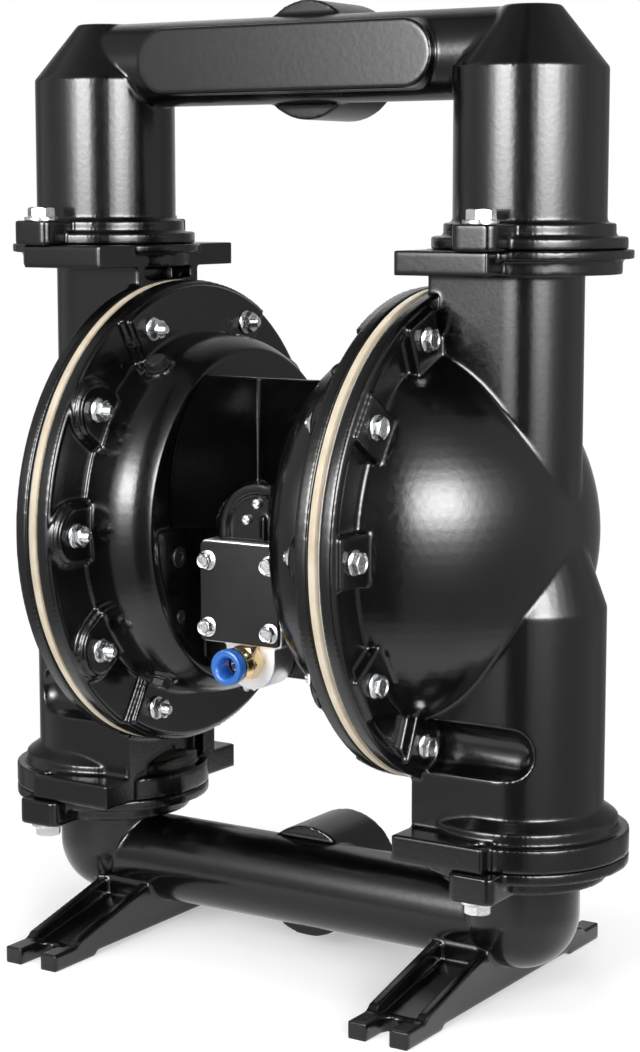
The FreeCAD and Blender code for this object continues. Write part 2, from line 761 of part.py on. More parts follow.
def air_cap():
    """The right air cap: bolted flange, drum with its shoulder, bosses, hub and plug holes."""
    solids = [air_cap_profile()]
    for margin, end_r, face_x in ((boss_margin, boss_end_r + boss_margin, air_back_x - boss_step),
                                  (0.0, boss_end_r, boss_face_x)):
        tab = boss(boss_width / 2 + margin, end_r, face_x)
        for a in (-side_bolt_angle, 0.0, side_bolt_angle):
            solids += [turned(tab, a), turned(tab, 180 - a)]
        solids += boss_sector(margin, end_r, face_x)
    solids += on_drum(bar_z(drum_boss_r, chamber_bore_r + 2, drum_r + drum_boss_rise))
    body = join(solids)
    low_half = box(lip_face_x - 1, lip_face_x + recess_depth + 1, -recess_r, recess_r,
                   rod_z - recess_r, rod_z + recess_top_dz)
    recess = bar_x(recess_r, lip_face_x - 1, lip_face_x + recess_depth).common(low_half)
    recess = recess.cut(box(lip_face_x - 1, lip_face_x + recess_depth + 1, -body_side_y - 4, recess_r,
                            rod_z - recess_r, rod_z + recess_r))
    cuts = [air_chamber(), recess, bar_x(bush_r + fit_gap, lip_face_x, hub_floor_x),
            bar_x(pilot_bush_r + fit_gap, lip_face_x, hub_floor_x, 0, rod_z + pilot_rise)]
    cuts += bolt_holes(flange_bolt_r + hole_gap, boss_face_x, air_face_x)
    for y, z in hub_screw_places():
        cuts.append(bar_x(hub_screw_r + hole_gap, lip_face_x, hub_floor_x, y, z))
        cuts.append(bar_x(hub_screw_head_r + hole_gap, hub_floor_x - hub_screw_head - 1, hub_floor_x, y, z))
    floor_x = lip_face_x + recess_depth
    for y, dz, radius in plug_places:
        cuts.append(bar_x(radius + fit_gap, floor_x, floor_x + plug_depth + fit_gap, y, rod_z + dz))
    cuts += on_drum(bar_z(drum_plug_r + fit_gap, drum_r + drum_boss_rise - drum_plug_depth - fit_gap,
                         drum_r + drum_boss_rise))
    return body.cut(cuts)


def hub_screw_places():
    """Centres of the screws that hold an air cap to the centre body."""
    reach = hub_screw_circle_r * math.sqrt(0.5)
    return [(y, rod_z + dz) for y in (reach, -reach) for dz in (reach, -reach)]


def arch_slab(radius, y0, y1):
    """A slab with a round top, standing on the upper edge of the valve."""
    foot_z = valve_z + valve_height / 2 + fit_gap
    slab = bar_y(radius, y0, y1, arch_x, arch_spring_z)
    slab = slab.fuse(box(arch_x - radius, arch_x + radius, y0, y1, foot_z, arch_spring_z))
    below = box(arch_x - radius - 1, arch_x + radius + 1, y0 - 1, y1 + 1, arch_spring_z - radius - 1, foot_z)
    return slab.cut(below).removeSplitter()


def pilot_arch():
    """The rimmed lug above the valve that covers the pilot rod, with a rib in its recess."""
    front = -arch_front_y
    floor = front + arch_recess
    room = arch_slab(arch_r - arch_rim, front, floor)
    rib_x = arch_x + arch_rib_dx
    rib = box(rib_x - arch_rib_width / 2, rib_x + arch_rib_width / 2, front, floor,
              arch_spring_z - arch_r, arch_spring_z + arch_rib_rise)
    return arch_slab(arch_r, front, -body_side_y + 2).cut(room.cut(rib))


def upper_cove(side):
    """One half of the wall above the valve: it runs in from an air cap to the middle's upright line."""
    x = side * lip_face_x
    low = cove_low_z
    back_z = body_high_z - body_top_fall
    corner_y = math.sqrt((crest_r - cove_corner_inset) ** 2 - (body_high_z - rod_z) ** 2)
    outer = [V(x, -cove_low_y, low), V(x, -corner_y, body_high_z),
             V(x, body_side_y, back_z), V(x, body_side_y, low)]
    inner = [V(0, -cove_y, low), V(0, -cove_y, body_high_z),
             V(0, body_back_y, back_z), V(0, body_back_y, low)]
    bulge = Part.Arc(outer[0], V(x, -cove_middle_y, cove_middle_z), outer[1]).toShape()
    wires = [Part.Wire([bulge] + [Part.makeLine(outer[i], outer[(i + 1) % 4]) for i in (1, 2, 3)]),
             Part.Wire([Part.makeLine(inner[i], inner[(i + 1) % 4]) for i in range(4)])]
    return Part.makeLoft(wires, True, True)


def centre_body():
    """The block between the air caps, with the cove, the valve seat and the pilot arch in front."""
    half = lip_face_x
    plan = [V(x, y, body_low_z) for x, y in ((-half, -valve_seat_y), (half, -valve_seat_y), (half, body_side_y),
                                             (0, body_back_y), (-half, body_side_y))]
    block = prism(plan, V(0, 0, body_high_z - body_top_fall - body_lap - body_low_z))
    boss_solid = bar_y(exhaust_boss_r, body_side_y - body_lap, exhaust_boss_y, 0, exhaust_z)
    body = join([block, upper_cove(-1), upper_cove(1), pilot_arch(), boss_solid])
    cuts = [bar_x(bush_r + fit_gap, -half, half), bar_x(pilot_bush_r, -half, half, 0, rod_z + pilot_rise),
            bar_y(exhaust_bore_r + fit_gap, body_side_y - 30, exhaust_boss_y, 0, exhaust_z),
            bar_y(exhaust_bore_r - 4, -valve_seat_y, body_side_y - 25, 0, exhaust_z)]
    for y, z in hub_screw_places():
        for start in (-half, half - 20):
            cuts.append(bar_x(hub_screw_r + fit_gap, start, start + 20, y, z))
    screw_face = -arch_front_y + arch_recess
    for x, z in pilot_screw_places:
        cuts.append(bar_y(pilot_screw_r / 2 + fit_gap, screw_face, screw_face + 8, x, z))
    return body.cut(cuts)


def valve_body():
    """The bare block of the air valve, with the lobe that takes the air fitting."""
    half = valve_width / 2
    low = valve_z - valve_height / 2
    back = -valve_seat_y - gasket_thickness
    block = box(-half, half, -valve_front_y, back, low, low + valve_height)
    lobe = bar_y(lobe_r, -valve_front_y, back, lobe_x, lobe_z)
    neck = box(lobe_x - lobe_r, lobe_x + lobe_r, -valve_front_y, back, lobe_z, low + 1)
    body = join([block, lobe, neck])
    cuts = [bar_x(sleeve_r + fit_gap, -half, half, spool_y, spool_z),
            bar_y(fitting_thread_r + fit_gap, -valve_front_y, -valve_front_y + fitting_thread_length + 2,
                  lobe_x, lobe_z),
            bar_z(4, lobe_z, spool_z, lobe_x, spool_y)]
    for x, z in cover_bolt_places():
        cuts.append(bar_y(cover_bolt_r + fit_gap, -valve_front_y, -valve_front_y + 18, x, z))
    return body.cut(cuts)


def cover_bolt_places():
    """Centres of the four bolts of the valve cover."""
    dx = valve_width / 2 - cover_bolt_edge_x
    levels = (valve_z - valve_height / 2 + cover_bolt_edge_low,
              valve_z + valve_height / 2 - cover_bolt_edge_top)
    return [(side * dx, z) for side in (-1, 1) for z in levels]


def cover_slab(y_front, thickness, margin):
    """A plate over the valve body's front with holes for the cover bolts."""
    half = valve_width / 2 - margin
    low = valve_z - valve_height / 2 + margin
    slab = box(-half, half, y_front, y_front + thickness, low, low + valve_height - 2 * margin)
    upright = [e for e in slab.Edges if abs(e.Vertexes[0].Y - e.Vertexes[-1].Y) > thickness / 2]
    slab = slab.makeFillet(2.5, upright)
    return slab.cut([bar_y(cover_bolt_r + hole_gap / 2, y_front, y_front + thickness, x, z)
                     for x, z in cover_bolt_places()])


def build_castings():
    """The painted castings and the valve block."""
    cap = fluid_cap()
    keep("right_fluid_cap", cap)
    keep("left_fluid_cap", mirrored(cap))
    drum = air_cap()
    keep("right_air_cap", drum)
    keep("left_air_cap", mirrored(drum))
    keep("inlet_manifold", inlet_manifold())
    keep("outlet_manifold", outlet_manifold())
    keep("center_body", centre_body())
    keep("valve_body", valve_body())
    front = -valve_front_y - gasket_thickness
    keep("valve_cover", cover_slab(front - cover_thickness, cover_thickness, cover_margin))
    keep("cover_gasket", cover_slab(front, gasket_thickness, cover_margin))
    seat_y = -valve_seat_y - gasket_thickness
    half = valve_width / 2
    low = valve_z - valve_height / 2
    keep("valve_gasket", box(-half, half, seat_y, -valve_seat_y, low, low + valve_height))


def diaphragm(x0, thickness):
    """A clamped sheet with one rolled convolution between its rim and the rod washers."""
    middle = (washer_r + 4 + chamber_bore_r) / 2
    start = middle - convolution_half
    end = middle + convolution_half
    sag = convolution_half * 0.55
    inner = x0 + thickness
    outline = [(x0, rod_end_r + fit_gap), (x0, start), (x0, end), (x0, clamp_r), (inner, clamp_r),
               (inner, end), (inner, start), (inner, rod_end_r + fit_gap)]
    sheet = revolve_x(outline, {1: (x0 - sag, middle), 5: (inner - sag, middle)})
    return sheet.cut(bolt_holes(flange_bolt_r + hole_gap, x0, inner))


def build_diaphragms():
    """The two backup diaphragms and the two thin films on their wet side."""
    backup = diaphragm(air_face_x, backup_thickness)
    film = diaphragm(air_face_x + backup_thickness, film_thickness)
    keep("right_backup_diaphragm", backup)
    keep("left_backup_diaphragm", mirrored(backup))
    keep("right_diaphragm", film)
    keep("left_diaphragm", mirrored(film))


def build_rod():
    """The rod with the washers and nuts that clamp the diaphragms."""
    tip_x = fluid_face_x + outer_washer_thickness + rod_nut_height + 2
    shoulder_x = air_face_x - inner_washer_thickness
    rod = join([bar_x(rod_r, -shoulder_x, shoulder_x), bar_x(rod_end_r, -tip_x, tip_x)])
    keep("diaphragm_rod", rod)
    bore_r = rod_end_r + fit_gap
    inner = revolve_x([(shoulder_x, bore_r), (shoulder_x, washer_r - 6), (shoulder_x + 4, washer_r),
                       (air_face_x, washer_r), (air_face_x, bore_r)])
    keep("right_inner_washer", inner)
    keep("left_inner_washer", mirrored(inner))
    outer_end = fluid_face_x + outer_washer_thickness
    outer = revolve_x([(fluid_face_x, bore_r), (fluid_face_x, washer_r), (fluid_face_x + 3, washer_r),
                       (outer_end, washer_r - 22), (outer_end, bore_r)])
    keep("right_outer_washer", outer)
    keep("left_outer_washer", mirrored(outer))
    nut = hexagon(rod_nut_flats, rod_nut_height, V(outer_end, 0, rod_z), X_AXIS)
    nut = nut.cut(bar_x(bore_r, outer_end, outer_end + rod_nut_height))
    keep_group("rod_nuts", both_ends(nut))
    bush = ring_x(bush_r, rod_r + running_gap, lip_face_x - bush_length, lip_face_x)
    keep_group("rod_bushings", both_ends(bush))
    seal = ring_x(bush_r, rod_r + running_gap, hub_floor_x - 2 - seal_length, hub_floor_x - 2)
    keep_group("rod_seals", both_ends(seal))


def build_pilot():
    """The small rod that each inner washer pushes near the end of its stroke."""
    reach = air_face_x - inner_washer_thickness - rod_travel + pilot_travel - pilot_margin
    z = rod_z + pilot_rise
    keep("pilot_rod", bar_x(pilot_r, -reach, reach, 0, z))
    bush = ring_x(pilot_bush_r, pilot_r + running_gap, hub_floor_x - pilot_bush_length, hub_floor_x - 1, 0, z)
    keep_group("pilot_bushings", both_ends(bush))


def build_air_valve():
    """The spool and its sleeve inside the valve body."""
    half = valve_width / 2
    sleeve_end = half - end_plug_length
    sleeve = ring_x(sleeve_r, spool_r + running_gap, -sleeve_end, sleeve_end, spool_y, spool_z)
    port = bar_z(3, spool_z - sleeve_r, spool_z, lobe_x, spool_y)
    keep("valve_sleeve", sleeve.cut(port))
    spool = bar_x(spool_r, -spool_length / 2, spool_length / 2, spool_y, spool_z)
    for x in (-11, 11):
        spool = spool.cut(ring_x(spool_r, spool_r - 2.5, x - 5, x + 5, spool_y, spool_z))
    keep("valve_spool", spool)
    plug = bar_x(sleeve_r, sleeve_end, half, spool_y, spool_z)
    plug = plug.cut(hexagon(8, end_plug_length / 2, V(half - end_plug_length / 2, spool_y, spool_z), X_AXIS))
    keep_group("valve_end_plugs", both_ends(plug))


def seat_and_ball(seat_z):
    """A seat ring and the ball that rests in it, on the right column."""
    top = seat_z + seat_thickness
    seat = revolve_z([(seat_bore_r, seat_z), (seat_r, seat_z), (seat_r, top),
                      (seat_bore_r + seat_cone_depth, top), (seat_bore_r, top - seat_cone_depth)], column_x)
    ball = Part.makeSphere(ball_r, V(column_x, 0, top + ball_rise))
    return seat, ball


def build_ball_valves():
    """Seats, balls and seal rings of the four check valves."""
    for label, seat_z in (("inlet", lower_joint_z), ("outlet", upper_joint_z)):
        seat, ball = seat_and_ball(seat_z)
        seal_z = seat_z - 2 * seal_ring_section - fit_gap
        keep("right_%s_ball" % label, ball)
        keep("left_%s_ball" % label, mirrored(ball))
        keep_group("%s_ball_seats" % label, both_ends(seat))
        ring = bar_z(seal_ring_r + seal_ring_section, seal_z, seal_z + 2 * seal_ring_section, column_x)
        ring = ring.cut(bar_z(seal_ring_r - seal_ring_section, 0, upper_joint_z, column_x))
        keep_group("%s_seal_rings" % label, both_ends(ring))


def headed_bolt(flats, head, shank_r, shank, washer_r_, washer):
    """A hex bolt on its washer along +Z: the washer's seat is at zero and the shank runs down."""
    body = hexagon(flats, head, V(0, 0, washer), Z_AXIS)
    body = body.common(Part.makeCone(flats / 2 + head, flats / 2 - 0.3, head, V(0, 0, washer)))
    return join([body, bar_z(washer_r_, 0, washer), bar_z(shank_r, -shank, washer)])


def placed(shape, position, direction):
    """A copy of a shape whose own +Z points along direction at position."""
    result = shape.copy()
    result.Placement = FreeCAD.Placement(position, FreeCAD.Rotation(Z_AXIS, direction))
    return result


def build_flange_fasteners():
    """Ten bolts a side on the fluid caps and their nuts on the air caps."""
    reach = pad_face_x - boss_face_x + flange_washer_thickness + flange_nut_height + flange_bolt_tail
    bolt = headed_bolt(flange_head_flats, flange_head_height, flange_bolt_r, reach,
                       flange_washer_r, flange_washer_thickness)
    bolt = placed(bolt, V(pad_face_x, bolt_circle_r, rod_z), X_AXIS)
    bolts = [turned(bolt, a) for a in bolt_angles()]
    start = boss_face_x - flange_washer_thickness
    washer = bar_x(flange_washer_r, start, boss_face_x, bolt_circle_r)
    nut = hexagon(flange_head_flats, flange_nut_height, V(start, bolt_circle_r, rod_z), -X_AXIS)
    hole = bar_x(flange_bolt_r + fit_gap, start - flange_nut_height, boss_face_x, bolt_circle_r)
    nut = join([nut, washer]).cut(hole)
    nuts = [turned(nut, a) for a in bolt_angles()]
    keep_group("right_flange_bolts", bolts)
    keep_group("left_flange_bolts", [mirrored(b) for b in bolts])
    keep_group("right_flange_nuts", nuts)
    keep_group("left_flange_nuts", [mirrored(n) for n in nuts])


def build_manifold_bolts():
    """Two bolts at each of the four manifold joints."""
    upper_length = outlet_lug_z - upper_joint_z + cap_plate_thickness - 1
    lower_length = lower_joint_z - inlet_lug_z + cap_plate_thickness - 2
    upper, lower = [headed_bolt(lug_head_flats, lug_head_height, lug_bolt_r, length, lug_washer_r,
                                lug_washer_thickness) for length in (upper_length, lower_length)]
    uppers = []
    lowers = []
    for sx in (-1, 1):
        for y in (-lug_bolt_y, lug_bolt_y):
            uppers.append(placed(upper, V(sx * outlet_lug_x, y, outlet_lug_z), Z_AXIS))
            lowers.append(placed(lower, V(sx * inlet_lug_x, y, inlet_lug_z), -Z_AXIS))
    keep_group("outlet_manifold_bolts", uppers)
    keep_group("inlet_manifold_bolts", lowers)


def build_small_fasteners():
    """Cover bolts, pilot screws, hub screws, air cap plugs and the grounding screw."""
    front = -valve_front_y - gasket_thickness - cover_thickness
    bolt = headed_bolt(cover_bolt_flats, cover_bolt_head, cover_bolt_r, cover_bolt_length,
                       cover_bolt_flange_r, cover_bolt_flange)
    keep_group("cover_bolts", [placed(bolt, V(x, front, z), -Y_AXIS) for x, z in cover_bolt_places()])
    screw = join([bar_z(pilot_screw_r, 0, pilot_screw_head), bar_z(pilot_screw_r / 2, -7, 0)])
    seat_y = -arch_front_y + arch_recess
    keep_group("pilot_screws", [placed(screw, V(x, seat_y, z), -Y_AXIS) for x, z in pilot_screw_places])
    head_x = hub_floor_x - 1 - hub_screw_head
    hub = join([bar_x(hub_screw_head_r, head_x, head_x + hub_screw_head, 0, 0),
                bar_x(hub_screw_r, head_x - hub_screw_length, head_x, 0, 0)])
    hub = hub.cut(hexagon(6, 4, V(head_x + hub_screw_head - 4, 0, 0), X_AXIS))
    screws = []
    for y, z in hub_screw_places():
        one = hub.copy()
        one.translate(V(0, y, z))
        screws += both_ends(one)
    keep_group("hub_screws", screws)
    plugs = []
    floor_x = lip_face_x + recess_depth
    for y, dz, radius in plug_places:
        shank = bar_x(radius, floor_x, floor_x + plug_depth, y, rod_z + dz)
        head = bar_x(radius + 1.5, floor_x - plug_head, floor_x, y, rod_z + dz)
        plugs += both_ends(join([shank, head]))
    keep_group("air_cap_plugs", plugs)
    plug = headed_bolt(drum_plug_flats, drum_plug_head, drum_plug_r, drum_plug_depth,
                       drum_plug_flange_r, drum_plug_flange)
    plug.translate(V(0, 0, drum_r + drum_boss_rise))
    drum_plugs = []
    for one in on_drum(plug):
        drum_plugs += both_ends(one)
    keep_group("drum_plugs", drum_plugs)
    inner_y = abs(ground_screw_y) - ground_screw_r
    edge_x = -column_x - math.sqrt(upper_lip_r ** 2 - inner_y ** 2)
    z = upper_joint_z - upper_lip_height / 2
    ground = bar_x(ground_screw_r, edge_x - ground_screw_length, edge_x, ground_screw_y, z)
    keep("grounding_screw", ground)


def build_fitting():
    """The push-in air fitting in the lobe, with its grip ring, seal and release collet."""
    face = -valve_front_y
    hex_front = face - fitting_hex_length
    body_front = hex_front - fitting_body_length
    shell = join([bar_y(fitting_thread_r, face, face + fitting_thread_length, lobe_x, lobe_z),
                  hexagon(fitting_flats, fitting_hex_length, V(lobe_x, face, lobe_z), -Y_AXIS),
                  bar_y(fitting_body_r, body_front, hex_front, lobe_x, lobe_z)])
    stop_y = body_front + tube_stop_depth
    socket_r = collet_sleeve_r + fit_gap
    shell = shell.cut([bar_y(socket_r, body_front, hex_front + 2, lobe_x, lobe_z),
                       bar_y(tube_r + 0.2, body_front, stop_y, lobe_x, lobe_z),
                       bar_y(tube_r - 1.5, body_front, face + fitting_thread_length, lobe_x, lobe_z)])
    keep("inlet_fitting", shell)
    collet_front = body_front - collet_gap - collet_length
    sleeve_end = body_front + 3.5
    collet = join([bar_y(collet_r, collet_front, body_front - collet_gap, lobe_x, lobe_z),
                   bar_y(collet_sleeve_r, collet_front, sleeve_end, lobe_x, lobe_z)])
    collet = collet.cut(bar_y(tube_r + 0.3, collet_front, sleeve_end, lobe_x, lobe_z))
    keep("release_collet", collet)
    grip_y = sleeve_end + collet_gap + 0.3
    grip = bar_y(socket_r, grip_y, grip_y + 0.8, lobe_x, lobe_z)
    keep("grip_ring", grip.cut(bar_y(tube_r + 0.1, grip_y, grip_y + 0.8, lobe_x, lobe_z)))
    seal = bar_y(socket_r, grip_y + 1.2, grip_y + 3.8, lobe_x, lobe_z)
    keep("tube_seal", seal.cut(bar_y(tube_r + 0.1, grip_y + 1.2, grip_y + 3.8, lobe_x, lobe_z)))


def build_muffler():
    """The exhaust muffler screwed into the back of the centre body."""
    start = exhaust_boss_y
    neck = bar_y(exhaust_bore_r, start - muffler_neck_length, start, 0, exhaust_z)
    shell = bar_y(muffler_r, start, start + muffler_length, 0, exhaust_z)
    solid = join([neck, shell])
    hollow = bar_y(muffler_r - 4, start + 4, start + muffler_length - 4, 0, exhaust_z)
    bore = bar_y(exhaust_bore_r - 3, start - muffler_neck_length, start + 5, 0, exhaust_z)
    cuts = [hollow, bore]
    for i in range(muffler_slot_count):
        slot = box(-1.6, 1.6, start + 12, start + muffler_length - 12, exhaust_z + muffler_r - 6,
                   exhaust_z + muffler_r + 1)
        slot.rotate(V(0, 0, exhaust_z), Y_AXIS, 360.0 * i / muffler_slot_count)
        cuts.append(slot)
    keep("exhaust_muffler", solid.cut(cuts))


def export_all():
    """Write one STEP file for each node."""
    os.makedirs("parts", exist_ok=True)
    for name, shape in parts.items():
        solids = shape.Solids
        if not solids or not shape.isValid():
            print("problem in", name, len(solids), "solids, valid:", shape.isValid())
        shape.exportStep(os.path.join("parts", name + ".step"))


build_castings()
build_diaphragms()
build_rod()
build_pilot()
build_air_valve()
build_ball_valves()
build_flange_fasteners()
build_manifold_bolts()
build_small_fasteners()
build_fitting()
build_muffler()
export_all()
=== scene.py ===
"""Looks of the air-operated double diaphragm pump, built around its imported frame.

The castings are the frame's own solids, skinned again with soft cast edges. Fasteners,
the diaphragm edges, the air valve and its fitting are modelled here in detail. The frame
has +X along the rod, +Y to the back and +Z up. The sizes of pieces are in millimetres and
become metres where a mesh is made. The stage and the camera are placed in metres.
"""
import bpy
import bmesh
import json
import math
import numpy as np
from mathutils import Matrix, Vector


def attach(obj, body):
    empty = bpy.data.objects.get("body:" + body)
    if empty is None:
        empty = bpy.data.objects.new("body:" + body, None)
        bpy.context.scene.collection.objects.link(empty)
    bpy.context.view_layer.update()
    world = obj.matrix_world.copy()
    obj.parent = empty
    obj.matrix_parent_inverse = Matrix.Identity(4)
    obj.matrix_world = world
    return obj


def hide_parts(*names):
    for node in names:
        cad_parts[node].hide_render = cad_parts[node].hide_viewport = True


MM = 0.001
HOUSING = "housing"
SHARP_ANGLE = 30.0

# Sizes shared with the CAD model
ROD_Z = 316.0
AIR_FACE_X = 109.0
BACKUP_THICKNESS = 6.5
FILM_THICKNESS = 2.0
CLAMP_R = 168.5
CHAMBER_R = 122.5
DIAPHRAGM_WASHER_R = 62.0
SHEET_BORE_R = 9.3
BOLT_CIRCLE_R = 147.5
BOLT_ANGLES = (-67.0, -34.5, 0.0, 34.5, 67.0)
PAD_FACE_X = 131.0
BOSS_FACE_X = 91.6
FLANGE_BOLT_R = 4.0
FLANGE_FLATS = 13.0
FLANGE_HEAD = 5.3
FLANGE_WASHER_R = 8.4
FLANGE_WASHER = 1.6
FLANGE_NUT = 6.5
FLANGE_TAIL = 4.5
LUG_BOLT_Y = 72.0
LUG_BOLT_R = 5.0
LUG_BOLT_DEPTH = 30.0
LUG_FLATS = 17.0
LUG_HEAD = 7.0
LUG_WASHER_R = 12.0
LUG_WASHER = 2.5
UPPER_LUG = (178.5, 527.3)
LOWER_LUG = (181.0, 86.5)
VALVE_Z = 275.0
VALVE_WIDTH = 66.0
VALVE_HEIGHT = 71.0
VALVE_FRONT_Y = -82.0
VALVE_SEAT_Y = -56.8
VALVE_CORNER_R = 3.0
GASKET = 0.8
COVER_THICKNESS = 2.5
COVER_MARGIN = 1.2
COVER_CORNER_R = 2.5
COVER_BOLT_DX = 51.2
COVER_BOLT_DZ = 46.4
COVER_BOLT_DROP = 1.5
COVER_BOLT_FLATS = 10.0
COVER_BOLT_DEPTH = 15.0
SMALL_HEAD = 5.0
LOBE = (7.0, 229.0)
LOBE_R = 20.0
LOBE_ROOT_R = 2.5
ARCH_FLOOR_Y = -77.0
PILOT_SCREWS = ((1.5, 325.8), (10.0, 337.3))
PILOT_SCREW_R = 1.75
PILOT_SCREW_DEPTH = 7.0
DRUM_PLUG_ANGLE = 57.0
DRUM_PLUG_X = 76.0
DRUM_PLUG_R = 132.5
DRUM_PLUG_FLATS = 13.0
DRUM_PLUG_DEPTH = 5.0
CAP_PLUGS = ((-87.3, -18.9, 6.0), (-85.5, -61.4, 3.5))
CAP_PLUG_X = 49.5
CAP_PLUG_DEPTH = 5.0
FITTING_FLATS = 22.0

# Details of this script alone
EASED = 0.35
HEAD_RIM = 0.93
FOOT_INSET = 0.5
FOOT_RISE = 0.3
CHAMFER_DEPTH = 0.25
CHAMFER_DROP = 0.58
BOLT_SPIN = 17.0
NUT_SPIN = 23.0
LUG_SPIN = 25.0
LUG_FIRST_SPIN = 12.0
THREAD_PITCH = 1.5
THREAD_DEPTH = 0.9
THREAD_CHAMFER = 1.2
# Share of the black paint's gloss kept where shade is painted in the cove
PAINTED_SHADE_GLOSS = 0.02
COAT_ROUGHNESS = 0.1
GRIP_TEETH = 14
GRIP_TOOTH_TURN = 0.13

# Camera, fitted to the photograph
CAMERA_PLACE = (0.9073, -1.4014, 0.5462)
CAMERA_AZIMUTH = 32.59
CAMERA_PITCH = -7.98
CAMERA_LENS = 81.12
SENSOR = 36.0


# Materials

def empty_tree(owner):
    """Gives a material or a world an empty node tree."""
    owner.use_nodes = True
    owner.node_tree.nodes.clear()
    return owner.node_tree


def node(tree, kind, place, inputs=None, **settings):
    """Adds a shader node, sets its properties and its unlinked inputs."""
    made = tree.nodes.new(kind)
    made.location = place
    for key, value in settings.items():
        setattr(made, key, value)
    for key, value in (inputs or {}).items():
        made.inputs[key].default_value = value
    return made


def ramp(tree, source, stops, place):
    """A colour ramp on source, with (position, grey) stops."""
    made = node(tree, "ShaderNodeValToRGB", place)
    elements = made.color_ramp.elements
    while len(elements) < len(stops):
        elements.new(0.5)
    for element, (position, grey) in zip(elements, stops):
        element.position = position
        element.color = (grey, grey, grey, 1.0)
    tree.links.new(source, made.inputs["Fac"])
    return made.outputs["Color"]


def noise(tree, coords, scale, detail, place):
    """A noise texture in object coordinates, scale in cycles per metre."""
    made = node(tree, "ShaderNodeTexNoise", place, {"Scale": scale, "Detail": detail})
    tree.links.new(coords, made.inputs["Vector"])
    return made.outputs["Fac"]


def mix_colour(tree, factor, low, high, place, blend="MIX"):
    """Mixes two colours or sockets by factor."""
    made = node(tree, "ShaderNodeMix", place, data_type="RGBA", blend_type=blend)
    for value, key in ((factor, 0), (low, 6), (high, 7)):
        if isinstance(value, bpy.types.NodeSocket):
            tree.links.new(value, made.inputs[key])
        elif key == 0:
            made.inputs[key].default_value = value
        else:
            made.inputs[key].default_value = (*value, 1.0)
    return made.outputs[2]


def surface(name, base, roughness, layers, metallic=0.0, coat=0.0, specular=0.5, tint=None,
            tint_scale=60.0, rough_spread=0.06, subsurface=0.0, with_painted_shade=False):
    """A procedural finish: colour variation, roughness variation and layered bump.

    Each layer is (cycles per metre, detail, height in millimetres). Where a mesh is marked for painted shade,
    the finish loses its gloss, so that spot renders dark as shade does.
    """
    mat = bpy.data.materials.new(name)
    tree = empty_tree(mat)
    out = node(tree, "ShaderNodeOutputMaterial", (900, 0))
    shader = node(tree, "ShaderNodeBsdfPrincipled", (600, 0),
                  {"Metallic": metallic, "Coat Weight": coat, "Coat Roughness": COAT_ROUGHNESS,
                   "Specular IOR Level": specular, "Subsurface Weight": subsurface})
    tree.links.new(shader.outputs[0], out.inputs["Surface"])
    coords = node(tree, "ShaderNodeTexCoord", (-1200, 0)).outputs["Object"]
    broad = noise(tree, coords, tint_scale, 4.0, (-900, 300))
    second = tint or tuple(c * 0.8 for c in base)
    share = ramp(tree, broad, ((0.35, 0.0), (0.7, 1.0)), (-700, 300))
    colour = mix_colour(tree, share, base, second, (-400, 300))
    tree.links.new(colour, shader.inputs["Base Color"])
    fine = noise(tree, coords, tint_scale * 5, 3.0, (-900, 0))
    low = max(roughness - rough_spread, 0.02)
    high = min(roughness + rough_spread, 1.0)
    tree.links.new(ramp(tree, fine, ((0.3, low), (0.7, high)), (-600, 0)), shader.inputs["Roughness"])
    # Painted shade: where the mesh is marked, the specular level drops and the spot renders dark
    if with_painted_shade:
        shade_mark = node(tree, "ShaderNodeAttribute", (-600, -150), attribute_name="painted_shade")
        gloss = node(tree, "ShaderNodeMapRange", (-300, -150),
                     {"To Min": specular, "To Max": specular * PAINTED_SHADE_GLOSS})
        tree.links.new(shade_mark.outputs["Fac"], gloss.inputs["Value"])
        tree.links.new(gloss.outputs[0], shader.inputs["Specular IOR Level"])
    normal = None
    for i, (scale, detail, height) in enumerate(layers):
        source = noise(tree, coords, scale, detail, (-900, -300 - 250 * i))
        bump = node(tree, "ShaderNodeBump", (-500 + 250 * i, -300 - 250 * i),
                    {"Strength": 1.0, "Distance": height * MM})
        tree.links.new(source, bump.inputs["Height"])
        if normal is not None:
            tree.links.new(normal, bump.inputs["Normal"])
        normal = bump.outputs["Normal"]
    tree.links.new(normal, shader.inputs["Normal"])
    if coat:
        tree.links.new(normal, shader.inputs["Coat Normal"])
    return mat


